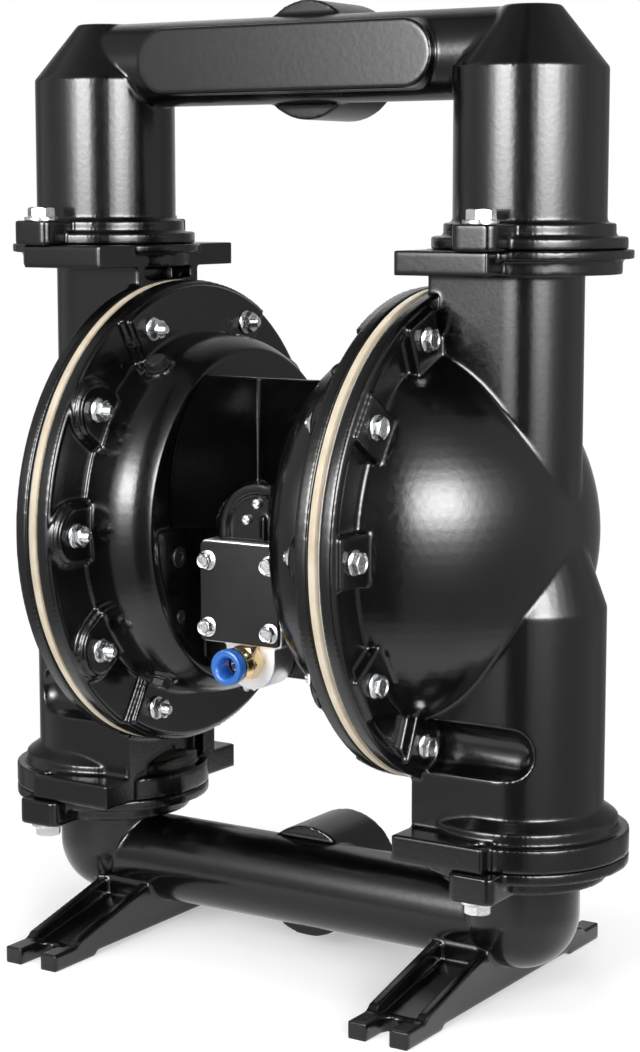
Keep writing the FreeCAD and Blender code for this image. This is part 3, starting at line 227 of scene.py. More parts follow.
def build_materials():
    """Every finish of the pump, by record slot."""
    made = {}
    # Gloss black paint, which also carries the painted shade of the cove, where its gloss is taken away
    made["black_paint"] = surface(
        "gloss_black_paint", (0.0018, 0.0018, 0.002), 0.19, layers=((290.0, 2.0, 0.06), (750.0, 2.0, 0.018)),
        tint=(0.003, 0.003, 0.0032), rough_spread=0.03, with_painted_shade=True)
    made["black_cover"] = surface(
        "satin_black_cover", (0.02, 0.02, 0.021), 0.55, layers=((900.0, 3.0, 0.015),), specular=0.22,
        rough_spread=0.05)
    made["bare_aluminium"] = surface(
        "machined_aluminium", (0.84, 0.84, 0.85), 0.42, layers=((1500.0, 2.0, 0.005),), metallic=1.0,
        tint=(0.78, 0.78, 0.79))
    made["black_rubber"] = surface(
        "black_rubber", (0.022, 0.022, 0.022), 0.6, layers=((800.0, 2.0, 0.03),))
    made["cream_elastomer"] = surface(
        "cream_elastomer", (0.76, 0.66, 0.52), 0.55, layers=((260.0, 4.0, 0.12), (1200.0, 2.0, 0.03)),
        tint=(0.62, 0.51, 0.37), tint_scale=45.0, subsurface=0.05)
    made["white_fluoropolymer"] = surface(
        "white_fluoropolymer", (0.62, 0.6, 0.56), 0.42, layers=((300.0, 3.0, 0.08),),
        tint=(0.45, 0.43, 0.4), tint_scale=70.0, subsurface=0.05)
    made["stainless_steel"] = surface(
        "ground_steel", (0.6, 0.59, 0.57), 0.2, layers=((2000.0, 2.0, 0.004),), metallic=1.0)
    made["bronze"] = surface(
        "sintered_bronze", (0.62, 0.42, 0.2), 0.45, layers=((1800.0, 3.0, 0.02),), metallic=1.0)
    made["plated_steel"] = surface(
        "turned_steel", (0.58, 0.58, 0.59), 0.34, layers=((1500.0, 2.0, 0.008),), metallic=1.0)
    made["zinc_plated_steel"] = surface(
        "bright_zinc_plate", (0.8, 0.81, 0.82), 0.25, layers=((500.0, 2.0, 0.004), (3000.0, 2.0, 0.002)),
        metallic=1.0, tint=(0.72, 0.73, 0.75), tint_scale=120.0, rough_spread=0.03)
    made["dark_steel"] = surface(
        "black_oxide_steel", (0.03, 0.03, 0.031), 0.42, layers=((1500.0, 2.0, 0.008),), metallic=0.6)
    made["brass"] = surface(
        "turned_brass", (0.82, 0.63, 0.36), 0.2, layers=((900.0, 3.0, 0.008),), metallic=1.0,
        tint=(0.72, 0.52, 0.28), tint_scale=120.0)
    made["blue_plastic"] = surface(
        "blue_plastic", (0.03, 0.18, 0.62), 0.26, layers=((600.0, 2.0, 0.01),), coat=0.2,
        tint=(0.025, 0.15, 0.55), subsurface=0.03)
    made["black_plastic"] = surface(
        "black_plastic", (0.02, 0.02, 0.02), 0.45, layers=((1400.0, 3.0, 0.02),))
    return made


# Mesh helpers

def new_object(name, data):
    """Adds an object with this data to the scene."""
    obj = bpy.data.objects.new(name, data)
    bpy.context.scene.collection.objects.link(obj)
    return obj


def new_mesh(name, bm):
    """Turns a bmesh into a mesh as it is, and frees it."""
    mesh = bpy.data.meshes.new(name)
    bm.to_mesh(mesh)
    bm.free()
    return mesh


def mesh_object(name, bm, slot, smooth_angle=SHARP_ANGLE, body=HOUSING, nodes=()):
    """Turns a bmesh in millimetres into a finished piece that rides on a body."""
    bmesh.ops.scale(bm, vec=(MM, MM, MM), verts=bm.verts)
    bmesh.ops.recalc_face_normals(bm, faces=bm.faces)
    mesh = new_mesh(name, bm)
    mesh.shade_smooth()
    mesh.set_sharp_from_angle(angle=math.radians(smooth_angle))
    finish_piece(new_object(name, mesh), slot, body, nodes)


def finish_piece(obj, slot, body=HOUSING, nodes=()):
    """Gives a piece its material and ties it to the frame."""
    obj.data.materials.clear()
    obj.data.materials.append(materials[slot])
    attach(obj, body)
    for name in nodes:
        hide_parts(name)


def place(origin, direction, spin=0.0):
    """A matrix that carries local +Z to direction at origin."""
    turn = Vector((0, 0, 1)).rotation_difference(Vector(direction)).to_matrix().to_4x4()
    return Matrix.Translation(Vector(origin)) @ turn @ Matrix.Rotation(math.radians(spin), 4, "Z")


def join_rings(bm, rings, matrix, loop=False):
    """Joins successive rings of points with quads; caps the ends, or with loop joins them."""
    rows = [[bm.verts.new(matrix @ Vector(p)) for p in ring] for ring in rings]
    if loop:
        rows.append(rows[0])
    for a, b in zip(rows, rows[1:]):
        for i in range(len(a)):
            j = (i + 1) % len(a)
            bm.faces.new((a[i], a[j], b[j], b[i]))
    if not loop:
        bm.faces.new(list(reversed(rows[0])))
        bm.faces.new(rows[-1])


def circle(r, z, steps=72):
    """A ring of points round a circle."""
    return [(r * math.cos(t), r * math.sin(t), z) for t in np.linspace(0, 2 * math.pi, steps, False)]


def lathe(bm, profile, matrix, steps=48, loop=False):
    """Revolves (z, r) points about local Z; loop joins the last point to the first."""
    join_rings(bm, [circle(r, z, steps) for z, r in profile], matrix, loop)


def hex_ring(flats, z, drop=0.0, steps=72):
    """A ring of points round a hexagon; with a drop, it sinks towards the corners as a chamfer does."""
    ring = []
    for i in range(steps):
        t = 2 * math.pi * i / steps
        from_flat = math.radians((math.degrees(t) % 60.0) - 30.0)
        r = flats / 2 / math.cos(from_flat)
        ring.append((r * math.cos(t), r * math.sin(t), z - drop * (r - flats / 2 * 0.985)))
    return ring


def hex_sides(flats, base, top):
    """The rings of a hexagon's sides, eased at the base and chamfered at the top."""
    return [hex_ring(flats - FOOT_INSET, base), hex_ring(flats, base + FOOT_RISE),
            hex_ring(flats, top - CHAMFER_DEPTH, CHAMFER_DROP), circle(flats / 2 * HEAD_RIM, top)]


def hex_head(bm, matrix, flats, height, base, dish):
    """A chamfered hexagon head, dished on top."""
    top = base + height
    rim = flats / 2 * HEAD_RIM
    rings = hex_sides(flats, base, top)
    rings += [circle(rim - 0.7, top - 0.1), circle(rim - 1.4, top - dish), circle(rim * 0.4, top - dish)]
    join_rings(bm, rings, matrix)


def hex_nut(bm, matrix, flats, height, bore, base):
    """A hexagon nut, chamfered outside and at the mouth of its bore."""
    top = base + height
    rings = hex_sides(flats, base, top)
    rings += [circle(bore + 0.9, top), circle(bore, top - 0.9), circle(bore, base)]
    join_rings(bm, rings, matrix, loop=True)


def washer(bm, matrix, outer, inner, thickness):
    """A flat washer with eased edges."""
    profile = [(0.0, inner), (0.0, outer - EASED), (EASED, outer), (thickness - EASED, outer),
               (thickness, outer - EASED), (thickness, inner)]
    lathe(bm, profile, matrix, 64, loop=True)


def shank(bm, matrix, r, low, high):
    """The plain part of a bolt."""
    lathe(bm, [(low, r), (high, r)], matrix, 24)


def flanged_bolt(bm, matrix, flange, flats, dish, depth):
    """A bolt with a hexagon head on a flange, whose (z, r) profile runs from shank to shank."""
    shank_r = flange[0][1]
    seat = flange[-1][0]
    lathe(bm, flange, matrix, loop=True)
    hex_head(bm, matrix, flats, SMALL_HEAD, seat, dish)
    shank(bm, matrix, shank_r, -depth, seat)


def threaded_end(bm, matrix, radius, start, end):
    """A helical screw thread with a chamfered end."""
    rings = []
    steps = 36
    z = start
    while z < end:
        narrowed = radius - max(0.0, THREAD_CHAMFER - (end - z)) * 1.1
        ring = []
        for i in range(steps):
            t = 2 * math.pi * i / steps
            phase = (z / THREAD_PITCH - i / steps) % 1.0
            r = min(radius - THREAD_DEPTH * abs(phase - 0.5) * 2, narrowed)
            ring.append((r * math.cos(t), r * math.sin(t), z))
        rings.append(ring)
        z += THREAD_PITCH / 5
    rings.append(circle(radius - 1.3, end, steps))
    join_rings(bm, rings, matrix)


def outline(points, radii, step=12.0):
    """A polygon in (x, z) with each corner rounded by its own radius."""
    result = []
    count = len(points)
    for i, (point, r) in enumerate(zip(points, radii)):
        here = Vector(point)
        before = (Vector(points[i - 1]) - here).normalized()
        after = (Vector(points[(i + 1) % count]) - here).normalized()
        angle = before.angle(after)
        reach = r / math.tan(angle / 2)
        centre = here + (before + after).normalized() * (r / math.sin(angle / 2))
        start = here + before * reach - centre
        end = here + after * reach - centre
        a0 = math.atan2(start.y, start.x)
        turn = math.atan2(end.y, end.x) - a0
        turn = (turn + math.pi) % (2 * math.pi) - math.pi
        pieces = max(2, int(abs(math.degrees(turn)) / step) + 1)
        for k in range(pieces + 1):
            a = a0 + turn * k / pieces
            result.append((centre.x + r * math.cos(a), centre.y + r * math.sin(a)))
    return result


def inset(points, distance):
    """The outline moved inwards by distance; the outline runs anticlockwise."""
    result = []
    for i, point in enumerate(points):
        here = Vector(point)
        before = (here - Vector(points[i - 1])).normalized()
        after = (Vector(points[(i + 1) % len(points)]) - here).normalized()
        normal = Vector((-(before.y + after.y), before.x + after.x)).normalized()
        scale = 1.0 / max(0.5, normal.dot(Vector((-before.y, before.x))))
        moved = here + normal * distance * scale
        result.append((moved.x, moved.y))
    return result


def plate(bm, points, y_front, y_back, bevel):
    """A plate whose outline lies in the XZ plane, with rounded edges front and back."""
    steps = 3
    turns = [math.pi / 2 * i / steps for i in range(steps + 1)]
    layers = [(y_front + bevel - bevel * math.cos(t), bevel - bevel * math.sin(t)) for t in turns]
    layers += [(y_back - y + y_front, d) for y, d in reversed(layers)]
    rings = [[(x, y, z) for x, z in inset(points, d)] for y, d in layers]
    join_rings(bm, rings, Matrix.Identity(4))


# Castings

CAST_VOXEL = 1.3
RELAX_PASSES = 4
FACES_KEPT = 0.45
COVE_LOW_Z = ROD_Z + 2.0
COVE_HIGH_Z = 422.0
ARCH_X = 12.5
ARCH_R = 33.5
COVE_FRONT = 55.0
CREASE = 0.4


def cast_skin(name, voxel):
    """Skins a CAD casting again with soft edges and fillets, and stands for it."""
    obj = new_object(name + "_skin", frame["nodes"][name].data.copy())
    bpy.context.view_layer.objects.active = obj
    remesh = obj.modifiers.new("skin", "REMESH")
    remesh.mode = "VOXEL"
    remesh.voxel_size = voxel * MM
    relax = obj.modifiers.new("soften", "SMOOTH")
    relax.factor = 0.5
    relax.iterations = RELAX_PASSES
    thin = obj.modifiers.new("thin", "DECIMATE")
    thin.ratio = FACES_KEPT
    depsgraph = bpy.context.evaluated_depsgraph_get()
    mesh = bpy.data.meshes.new_from_object(obj.evaluated_get(depsgraph))
    obj.modifiers.clear()
    obj.data = mesh
    mesh.shade_smooth()
    finish_piece(obj, "black_paint", nodes=(name,))
    return obj


def ease_between(value, low, high):
    """Goes smoothly from 0 at low to 1 at high."""
    t = min(max((value - low) / (high - low), 0.0), 1.0)
    return t * t * (3.0 - 2.0 * t)


def paint_shade_in_cove(body):
    """Marks the walls of the upper front cove for painted shade, where the paint loses its gloss and renders
    dark.

    The crease between the walls and the arch around the pilot stay glossy.
    """
    shade_mark = body.data.attributes.new("painted_shade", "FLOAT", "POINT")
    for v, row in zip(body.data.vertices, shade_mark.data):
        x, y, z = (c / MM for c in v.co)
        front = ease_between(-y, COVE_FRONT, COVE_FRONT + 3.0)
        off_crease = ease_between(abs(x), CREASE, CREASE + 1.0)
        off_arch = ease_between(math.hypot(x - ARCH_X, z - COVE_LOW_Z), ARCH_R + 0.6, ARCH_R + 1.6)
        above = ease_between(z, COVE_LOW_Z - 3.0, COVE_LOW_Z - 1.0)
        below = 1.0 - ease_between(z, COVE_HIGH_Z - 1.5, COVE_HIGH_Z - 0.5)
        row.value = front * off_crease * off_arch * above * below


def build_castings():
    """The painted castings."""
    voxel = CAST_VOXEL
    for name in ("left_fluid_cap", "right_fluid_cap", "left_air_cap", "right_air_cap",
                 "inlet_manifold", "outlet_manifold"):
        cast_skin(name, voxel)
    # The centre body's cove walls get painted shade: their paint loses its gloss
    paint_shade_in_cove(cast_skin("center_body", voxel))


# Fasteners

def flange_positions(sign, face_x):
    """Places of the ten flange fasteners on one side."""
    places = []
    for angle in BOLT_ANGLES:
        across = BOLT_CIRCLE_R * math.cos(math.radians(angle))
        up = BOLT_CIRCLE_R * math.sin(math.radians(angle))
        for half in (1, -1):
            places.append((sign * face_x, half * across, ROD_Z + up))
    return places


def build_flange_fasteners():
    """Bolts on the fluid caps and nuts on the air caps."""
    reach = PAD_FACE_X - BOSS_FACE_X
    end = reach + FLANGE_WASHER + FLANGE_NUT + FLANGE_TAIL
    for side, sign in (("right", 1), ("left", -1)):
        bolts = bmesh.new()
        for k, spot in enumerate(flange_positions(sign, PAD_FACE_X)):
            at = place(spot, (sign, 0, 0), BOLT_SPIN * k)
            washer(bolts, at, FLANGE_WASHER_R, FLANGE_BOLT_R, FLANGE_WASHER)
            hex_head(bolts, at, FLANGE_FLATS, FLANGE_HEAD, FLANGE_WASHER, dish=0.7)
            tail = place(spot, (-sign, 0, 0))
            shank(bolts, tail, FLANGE_BOLT_R, -1.0, reach)
            threaded_end(bolts, tail, FLANGE_BOLT_R, reach, end)
        mesh_object(side + "_flange_bolt_set", bolts, "zinc_plated_steel", nodes=(side + "_flange_bolts",))

        nuts = bmesh.new()
        for k, spot in enumerate(flange_positions(sign, BOSS_FACE_X)):
            at = place(spot, (-sign, 0, 0), NUT_SPIN * k)
            washer(nuts, at, FLANGE_WASHER_R, FLANGE_BOLT_R + 0.3, FLANGE_WASHER)
            hex_nut(nuts, at, FLANGE_FLATS, FLANGE_NUT, FLANGE_BOLT_R + 0.15, FLANGE_WASHER)
        mesh_object(side + "_flange_nut_set", nuts, "zinc_plated_steel", nodes=(side + "_flange_nuts",))


def build_manifold_bolts():
    """The bolts at the manifold joints."""
    for name, (x, z), up in (("outlet_manifold_bolts", UPPER_LUG, 1),
                             ("inlet_manifold_bolts", LOWER_LUG, -1)):
        bm = bmesh.new()
        for k, (sx, sy) in enumerate(((1, 1), (1, -1), (-1, 1), (-1, -1))):
            at = place((sx * x, sy * LUG_BOLT_Y, z), (0, 0, up), LUG_FIRST_SPIN + LUG_SPIN * k)
            washer(bm, at, LUG_WASHER_R, LUG_BOLT_R, LUG_WASHER)
            hex_head(bm, at, LUG_FLATS, LUG_HEAD, LUG_WASHER, dish=0.5)
            shank(bm, at, LUG_BOLT_R, -LUG_BOLT_DEPTH, LUG_WASHER)
        mesh_object(name + "_set", bm, "zinc_plated_steel", nodes=(name,))


# Diaphragms

FOLD_GAP = 4.0
FOLD_HALF = 24.0
FOLD_DEPTH = FOLD_HALF * 0.55
RIM_CLEARANCE = 0.2


def diaphragm_sheet(sign, name, x0, thickness, slot, bulge, ease, shy):
    """One clamped sheet with a rolled fold; its rim bulges, is eased and may stand back."""
    fold_r = (DIAPHRAGM_WASHER_R + FOLD_GAP + CHAMBER_R) / 2
    rim = CLAMP_R - RIM_CLEARANCE - shy
    outer = [(x0, SHEET_BORE_R), (x0, fold_r - FOLD_HALF)]
    outer += [(x0 - FOLD_DEPTH * math.sin(math.pi * t) ** 0.8, fold_r - FOLD_HALF + 2 * FOLD_HALF * t)
              for t in np.linspace(0.05, 0.95, 15)]
    outer += [(x0, fold_r + FOLD_HALF), (x0, rim - 2 * ease), (x0 + ease, rim)]
    flat = thickness - 2 * ease
    edge = [(x0 + ease + flat * t, rim + bulge * math.sin(math.pi * t)) for t in (0.25, 0.5, 0.75)]
    inner = [(x + thickness, r) for x, r in outer[:-1]]
    inner.append((x0 + thickness - ease, rim))
    bm = bmesh.new()
    at = Matrix(((0, 0, sign, 0), (0, 1, 0, 0), (-sign, 0, 0, ROD_Z), (0, 0, 0, 1)))
    lathe(bm, outer + edge + inner[::-1], at, 220, loop=True)
    mesh_object(name + "_sheet", bm, slot, 50, nodes=(name,))


def build_diaphragms():
    """Backup diaphragms and the thin films outboard of them."""
    for side, sign in (("right", 1), ("left", -1)):
        diaphragm_sheet(sign, side + "_backup_diaphragm", AIR_FACE_X, BACKUP_THICKNESS,
                        "cream_elastomer", bulge=0.15, ease=1.0, shy=0.0)
        diaphragm_sheet(sign, side + "_diaphragm", AIR_FACE_X + BACKUP_THICKNESS, FILM_THICKNESS,
                        "white_fluoropolymer", bulge=0.1, ease=0.4, shy=2.2)


# Air valve and fitting; the profiles are (z, r) points, with z along the piece's own axis

COVER_BOLT_FLANGE = ((0.0, 3.0), (0.0, 6.8), (0.3, 7.0), (0.8, 6.9), (1.4, 5.6), (1.4, 3.0))
PILOT_SCREW_HEAD = (
    (0.0, 1.0), (0.0, 3.5), (0.5, 3.6), (2.2, 3.3), (2.9, 2.4), (3.0, 1.9), (1.6, 1.7), (1.6, 0.3))
FITTING_SHANK = ((-12.0, 8.0), (-11.2, 8.5), (0.0, 8.5))
FITTING_BODY = (
    (11.0, 10.4), (11.15, 10.1), (12.0, 10.1), (12.2, 11.6), (12.7, 12.0), (19.3, 12.0), (20.0, 11.5),
    (20.0, 8.6), (19.6, 8.3), (9.0, 8.3), (9.0, 6.2), (-4.0, 6.2), (-4.0, 4.5), (-12.0, 4.5))
GRIP_RING = ((13.4, 6.1), (14.2, 6.1), (14.2, 8.2), (13.4, 8.2))
GRIP_TOOTH = ((13.4, 6.4), (14.2, 6.4), (12.9, 4.7), (12.4, 4.7))
COLLET = (
    (16.5, 8.0), (22.0, 8.0), (22.0, 11.6), (22.6, 12.2), (23.2, 12.3), (28.6, 12.3), (29.6, 11.8),
    (30.0, 10.9), (30.0, 9.2), (29.5, 8.2), (28.2, 7.3), (26.5, 6.4), (25.0, 6.3), (16.5, 6.3))


def build_valve_block():
    """The bare valve block, with the lobe that carries the fitting."""
    half = VALVE_WIDTH / 2
    low = VALVE_Z - VALVE_HEIGHT / 2
    high = VALVE_Z + VALVE_HEIGHT / 2
    left = LOBE[0] - LOBE_R
    right = LOBE[0] + LOBE_R
    foot = LOBE[1] - LOBE_R
    points = [(-half, high), (-half, low), (left, low), (left, foot), (right, foot), (right, low),
              (half, low), (half, high)]
    corner = [VALVE_CORNER_R, VALVE_CORNER_R]
    radii = corner + [LOBE_ROOT_R, LOBE_R - 0.01, LOBE_R - 0.01, LOBE_ROOT_R] + corner
    bm = bmesh.new()
    plate(bm, outline(points, radii), VALVE_FRONT_Y, VALVE_SEAT_Y, bevel=0.8)
    mesh_object("valve_block", bm, "bare_aluminium", 40, nodes=("valve_body",))


def build_cover():
    """The cover plate of the valve and the gasket behind it."""
    x = VALVE_WIDTH / 2 - COVER_MARGIN
    low = VALVE_Z - VALVE_HEIGHT / 2 + COVER_MARGIN
    high = VALVE_Z + VALVE_HEIGHT / 2 - COVER_MARGIN
    points = outline([(-x, high), (-x, low), (x, low), (x, high)], [COVER_CORNER_R] * 4)
    seat = VALVE_FRONT_Y - GASKET
    bm = bmesh.new()
    plate(bm, points, seat, VALVE_FRONT_Y, bevel=0.1)
    mesh_object("cover_seal", bm, "black_rubber", 40, nodes=("cover_gasket",))
    bm = bmesh.new()
    plate(bm, points, seat - COVER_THICKNESS, seat, bevel=EASED)
    mesh_object("cover_plate", bm, "black_cover", 40, nodes=("valve_cover",))


def build_cover_bolts():
    """The four bolts of the valve cover."""
    bm = bmesh.new()
    face = VALVE_FRONT_Y - GASKET - COVER_THICKNESS
    for sx in (-1, 1):
        for sz in (-1, 1):
            spot = (sx * COVER_BOLT_DX / 2, face, VALVE_Z - COVER_BOLT_DROP + sz * COVER_BOLT_DZ / 2)
            at = place(spot, (0, -1, 0), 14 * sx + 9 * sz)
            flanged_bolt(bm, at, COVER_BOLT_FLANGE, COVER_BOLT_FLATS, dish=0.6, depth=COVER_BOLT_DEPTH)
    mesh_object("cover_bolt_set", bm, "zinc_plated_steel", nodes=("cover_bolts",))


def build_pilot_screws():
    """The two small screws of the pilot cover above the valve."""
    bm = bmesh.new()
    for x, z in PILOT_SCREWS:
        at = place((x, ARCH_FLOOR_Y, z), (0, -1, 0))
        lathe(bm, PILOT_SCREW_HEAD, at, 32)
        lathe(bm, [(-PILOT_SCREW_DEPTH, PILOT_SCREW_R), (0.2, PILOT_SCREW_R)], at, 16)
    mesh_object("pilot_screw_set", bm, "zinc_plated_steel", 35, nodes=("pilot_screws",))


def fitting_place():
    """Where the fitting's axis comes out of the lobe."""
    x, z = LOBE
    return place((x, VALVE_FRONT_Y, z), (0, -1, 0))


def build_fitting():
    """The brass push-in fitting."""
    rings = [circle(r, z) for z, r in FITTING_SHANK]
    rings += [hex_ring(FITTING_FLATS - 0.8, 0.0), hex_ring(FITTING_FLATS, 0.5),
              hex_ring(FITTING_FLATS, 10.6, 0.5)]
    rings += [circle(r, z) for z, r in FITTING_BODY]
    bm = bmesh.new()
    join_rings(bm, rings, fitting_place(), loop=True)
    mesh_object("brass_fitting", bm, "brass", nodes=("inlet_fitting",))


def build_grip_ring():
    """The ring of teeth that holds the tube in the fitting."""
    bm = bmesh.new()
    at = fitting_place()
    lathe(bm, GRIP_RING, at, loop=True)
    for k in range(GRIP_TEETH):
        turn = 2 * math.pi * k / GRIP_TEETH
        corners = [(r, turn + side, z) for z, r in GRIP_TOOTH for side in (-GRIP_TOOTH_TURN, GRIP_TOOTH_TURN)]
        v = [bm.verts.new(at @ Vector((r * math.cos(a), r * math.sin(a), z))) for r, a, z in corners]
        for quad in ((0, 1, 3, 2), (2, 3, 5, 4), (4, 5, 7, 6), (6, 7, 1, 0), (0, 2, 4, 6), (1, 7, 5, 3)):
            bm.faces.new([v[i] for i in quad])
    mesh_object("grip_ring_teeth", bm, "stainless_steel", nodes=("grip_ring",))


def build_collet():
    """The blue release collet, pressed into the fitting by hand."""
    bm = bmesh.new()
    lathe(bm, COLLET, fitting_place(), 72, loop=True)
    mesh_object("blue_collet", bm, "blue_plastic", 35, body="collet", nodes=("release_collet",))


# Plugs

DRUM_PLUG_FLANGE = ((0.0, 4.0), (0.0, 8.2), (0.4, 8.5), (1.0, 8.4), (1.5, 7.2), (1.5, 4.0))


def build_drum_plugs():
    """Screw plugs in the fronts of the drums."""
    bm = bmesh.new()
    a = math.radians(DRUM_PLUG_ANGLE)
    for side in (-1, 1):
        for up in (-1, 1):
            out = (0.0, -math.cos(a), up * math.sin(a))
            spot = (side * DRUM_PLUG_X, DRUM_PLUG_R * out[1], ROD_Z + DRUM_PLUG_R * out[2])
            at = place(spot, out, 20.0 * side)
            flanged_bolt(bm, at, DRUM_PLUG_FLANGE, DRUM_PLUG_FLATS, dish=0.5, depth=DRUM_PLUG_DEPTH)
    mesh_object("drum_plug_set", bm, "dark_steel", nodes=("drum_plugs",))


def build_cap_plugs():
    """Screw plugs with round heads in the inner faces of the air caps."""
    bm = bmesh.new()
    for side in (-1, 1):
        for y, dz, r in CAP_PLUGS:
            at = place((side * CAP_PLUG_X, y, ROD_Z + dz), (-side, 0, 0))
            lathe(bm, [(-CAP_PLUG_DEPTH, r), (0.0, r), (0.0, r + 1.4), (0.3, r + 1.5), (1.3, r + 1.3),
                       (2.0, r + 0.5), (2.0, r * 0.62), (1.2, r * 0.55)], at, 40)
    mesh_object("cap_plug_set", bm, "dark_steel", 35, nodes=("air_cap_plugs",))


def dress_cad_nodes():
    """Materials and smooth shading for the CAD nodes that are still shown."""
    slots = {row["node"]: row["material_slot"] for row in frame["record"]["subparts"]}
    for name, obj in frame["nodes"].items():
        obj.data.materials.clear()
        obj.data.materials.append(materials[slots[name]])
        obj.data.shade_smooth()
        obj.data.set_sharp_from_angle(angle=math.radians(SHARP_ANGLE))


# Stage, in metres and degrees

SHELL_R = 1.6
SHELL_LOW = -50.0
SHELL_HIGH = 90.0
BOX_LEVEL = 25.0
BOX_AZIMUTHS = (
    (-150, 0.0), (-138, 0.01), (-127, 0.03), (-118, 0.12), (-112, 0.35), (-106, 0.8), (-100, 1.0),
    (-87, 1.0), (-83.5, 0.8), (-81, 0.1), (-79, 0.0), (-53.5, 0.0), (-51, 0.1), (-48, 0.4), (-44, 0.75),
    (-38, 0.96), (-30, 1.0), (-24, 0.9), (-17, 0.45), (-9, 0.16), (0, 0.06), (10, 0.015), (22, 0.0))
BOX_ELEVATIONS = (
    (-25, 0.0), (-15, 0.012), (-10, 0.028), (-5, 0.06), (-2, 0.1), (1, 0.15), (3.5, 0.21), (6, 0.33),
    (8, 0.46), (10, 0.63), (12, 0.8), (14.5, 0.95), (17, 1.0), (21, 1.0), (24, 0.93), (27, 0.75),
    (30, 0.5), (33, 0.3), (37, 0.15), (42, 0.06), (50, 0.02), (62, 0.0))
ROOM_AZIMUTHS = (
    (-180, 0.8), (-165, 1.0), (-80, 1.0), (-78, 0.2), (-54, 0.2), (-52, 1.0), (30, 1.0), (48, 0.85),
    (60, 0.5), (90, 0.4), (105, 1.0), (140, 1.0), (152, 0.5), (165, 0.3), (174, 0.4), (180, 0.8))
ROOM_ELEVATIONS = ((-50, 0.5), (-15, 0.5), (0, 0.55), (45, 0.55), (55, 0.42), (62, 0.32), (75, 0.2))
WORLD_LEVEL = 0.45
FILL_DISTANCE = 3.5
FILL_HEIGHT = 1.25
FLOOR_R = 6.0
FLOOR_GREY = 0.9
FLOOR_GLOW = 0.5
FLOOR_WHITE = 0.3
FADE_START = 0.1
FADE_START_IN_GLOSS = 0.3
FADE_END = 0.5


def area_light(name, at, target, width, height, power, glossy=True):
    """A soft box that faces target; glossy says whether gloss reflects it."""
    data = bpy.data.lights.new(name, "AREA")
    data.energy = power
    data.shape = "RECTANGLE"
    data.size = width
    data.size_y = height
    obj = new_object(name, data)
    obj.location = at
    obj.rotation_euler = (Vector(target) - Vector(at)).to_track_quat("-Z", "Y").to_euler()
    obj.visible_camera = False
    obj.visible_glossy = glossy
    return obj


def beside_the_camera(azimuth):
    """The place of a fill lamp at this azimuth from +X."""
    a = math.radians(azimuth)
    return FILL_DISTANCE * math.cos(a), FILL_DISTANCE * math.sin(a), FILL_HEIGHT


def studio_light():
    """The shell's material: two soft boxes with dark between them, in a pale room.

    Azimuths run from -180 to 180 degrees from +X, and elevations from SHELL_LOW to
    SHELL_HIGH as seen from the rod. The part below the floor is the far floor as gloss
    sees it, with the boxes' light on it.
    """
    mat = bpy.data.materials.new("studio_light")
    tree = empty_tree(mat)
    mat.cycles.emission_sampling = "NONE"
    out = node(tree, "ShaderNodeOutputMaterial", (1200, 0))
    glow = node(tree, "ShaderNodeEmission", (1000, 0))
    tree.links.new(glow.outputs[0], out.inputs["Surface"])
    coords = node(tree, "ShaderNodeTexCoord", (-1200, 0))
    unit = node(tree, "ShaderNodeVectorMath", (-1000, 0), operation="NORMALIZE")
    tree.links.new(coords.outputs["Object"], unit.inputs[0])
    split = node(tree, "ShaderNodeSeparateXYZ", (-800, 0))
    tree.links.new(unit.outputs[0], split.inputs[0])
    turn = node(tree, "ShaderNodeMath", (-600, 200), operation="ARCTAN2")
    tree.links.new(split.outputs["Y"], turn.inputs[0])
    tree.links.new(split.outputs["X"], turn.inputs[1])
    tilt = node(tree, "ShaderNodeMath", (-600, -200), operation="ARCSINE")
    tree.links.new(split.outputs["Z"], tilt.inputs[0])
    around = node(tree, "ShaderNodeMapRange", (-400, 200), {"From Min": -math.pi, "From Max": math.pi})
    tree.links.new(turn.outputs[0], around.inputs["Value"])
    upward = node(tree, "ShaderNodeMapRange", (-400, -200),
                  {"From Min": math.radians(SHELL_LOW), "From Max": math.radians(SHELL_HIGH)})
    tree.links.new(tilt.outputs[0], upward.inputs["Value"])

    def by_azimuth(stops, y):
        return ramp(tree, around.outputs[0], [((a + 180) / 360, v) for a, v in stops], (-200, y))

    def by_elevation(stops, y):
        span = SHELL_HIGH - SHELL_LOW
        return ramp(tree, upward.outputs[0], [((e - SHELL_LOW) / span, v) for e, v in stops], (-200, y))

    def times(a, b, y):
        return mix_colour(tree, 1.0, a, b, (200, y), "MULTIPLY")

    boxes = times(by_azimuth(BOX_AZIMUTHS, 600), by_elevation(BOX_ELEVATIONS, 300), 500)
    room = times(by_azimuth(ROOM_AZIMUTHS, -100), by_elevation(ROOM_ELEVATIONS, -400), -200)
    bright = times(boxes, (BOX_LEVEL, BOX_LEVEL, BOX_LEVEL), 300)
    tree.links.new(mix_colour(tree, 1.0, bright, room, (500, 0), "ADD"), glow.inputs["Color"])
    return mat


def studio_shell():
    """The studio around the pump, which only gloss sees."""
    bm = bmesh.new()
    bmesh.ops.create_uvsphere(bm, u_segments=96, v_segments=64, radius=SHELL_R)
    shell = new_object("studio_shell", new_mesh("studio_shell", bm))
    shell.location = (0, 0, ROD_Z * MM)
    shell.data.materials.append(studio_light())
    for kind in ("camera", "diffuse", "transmission", "volume_scatter", "shadow"):
        setattr(shell, "visible_" + kind, False)
    return shell


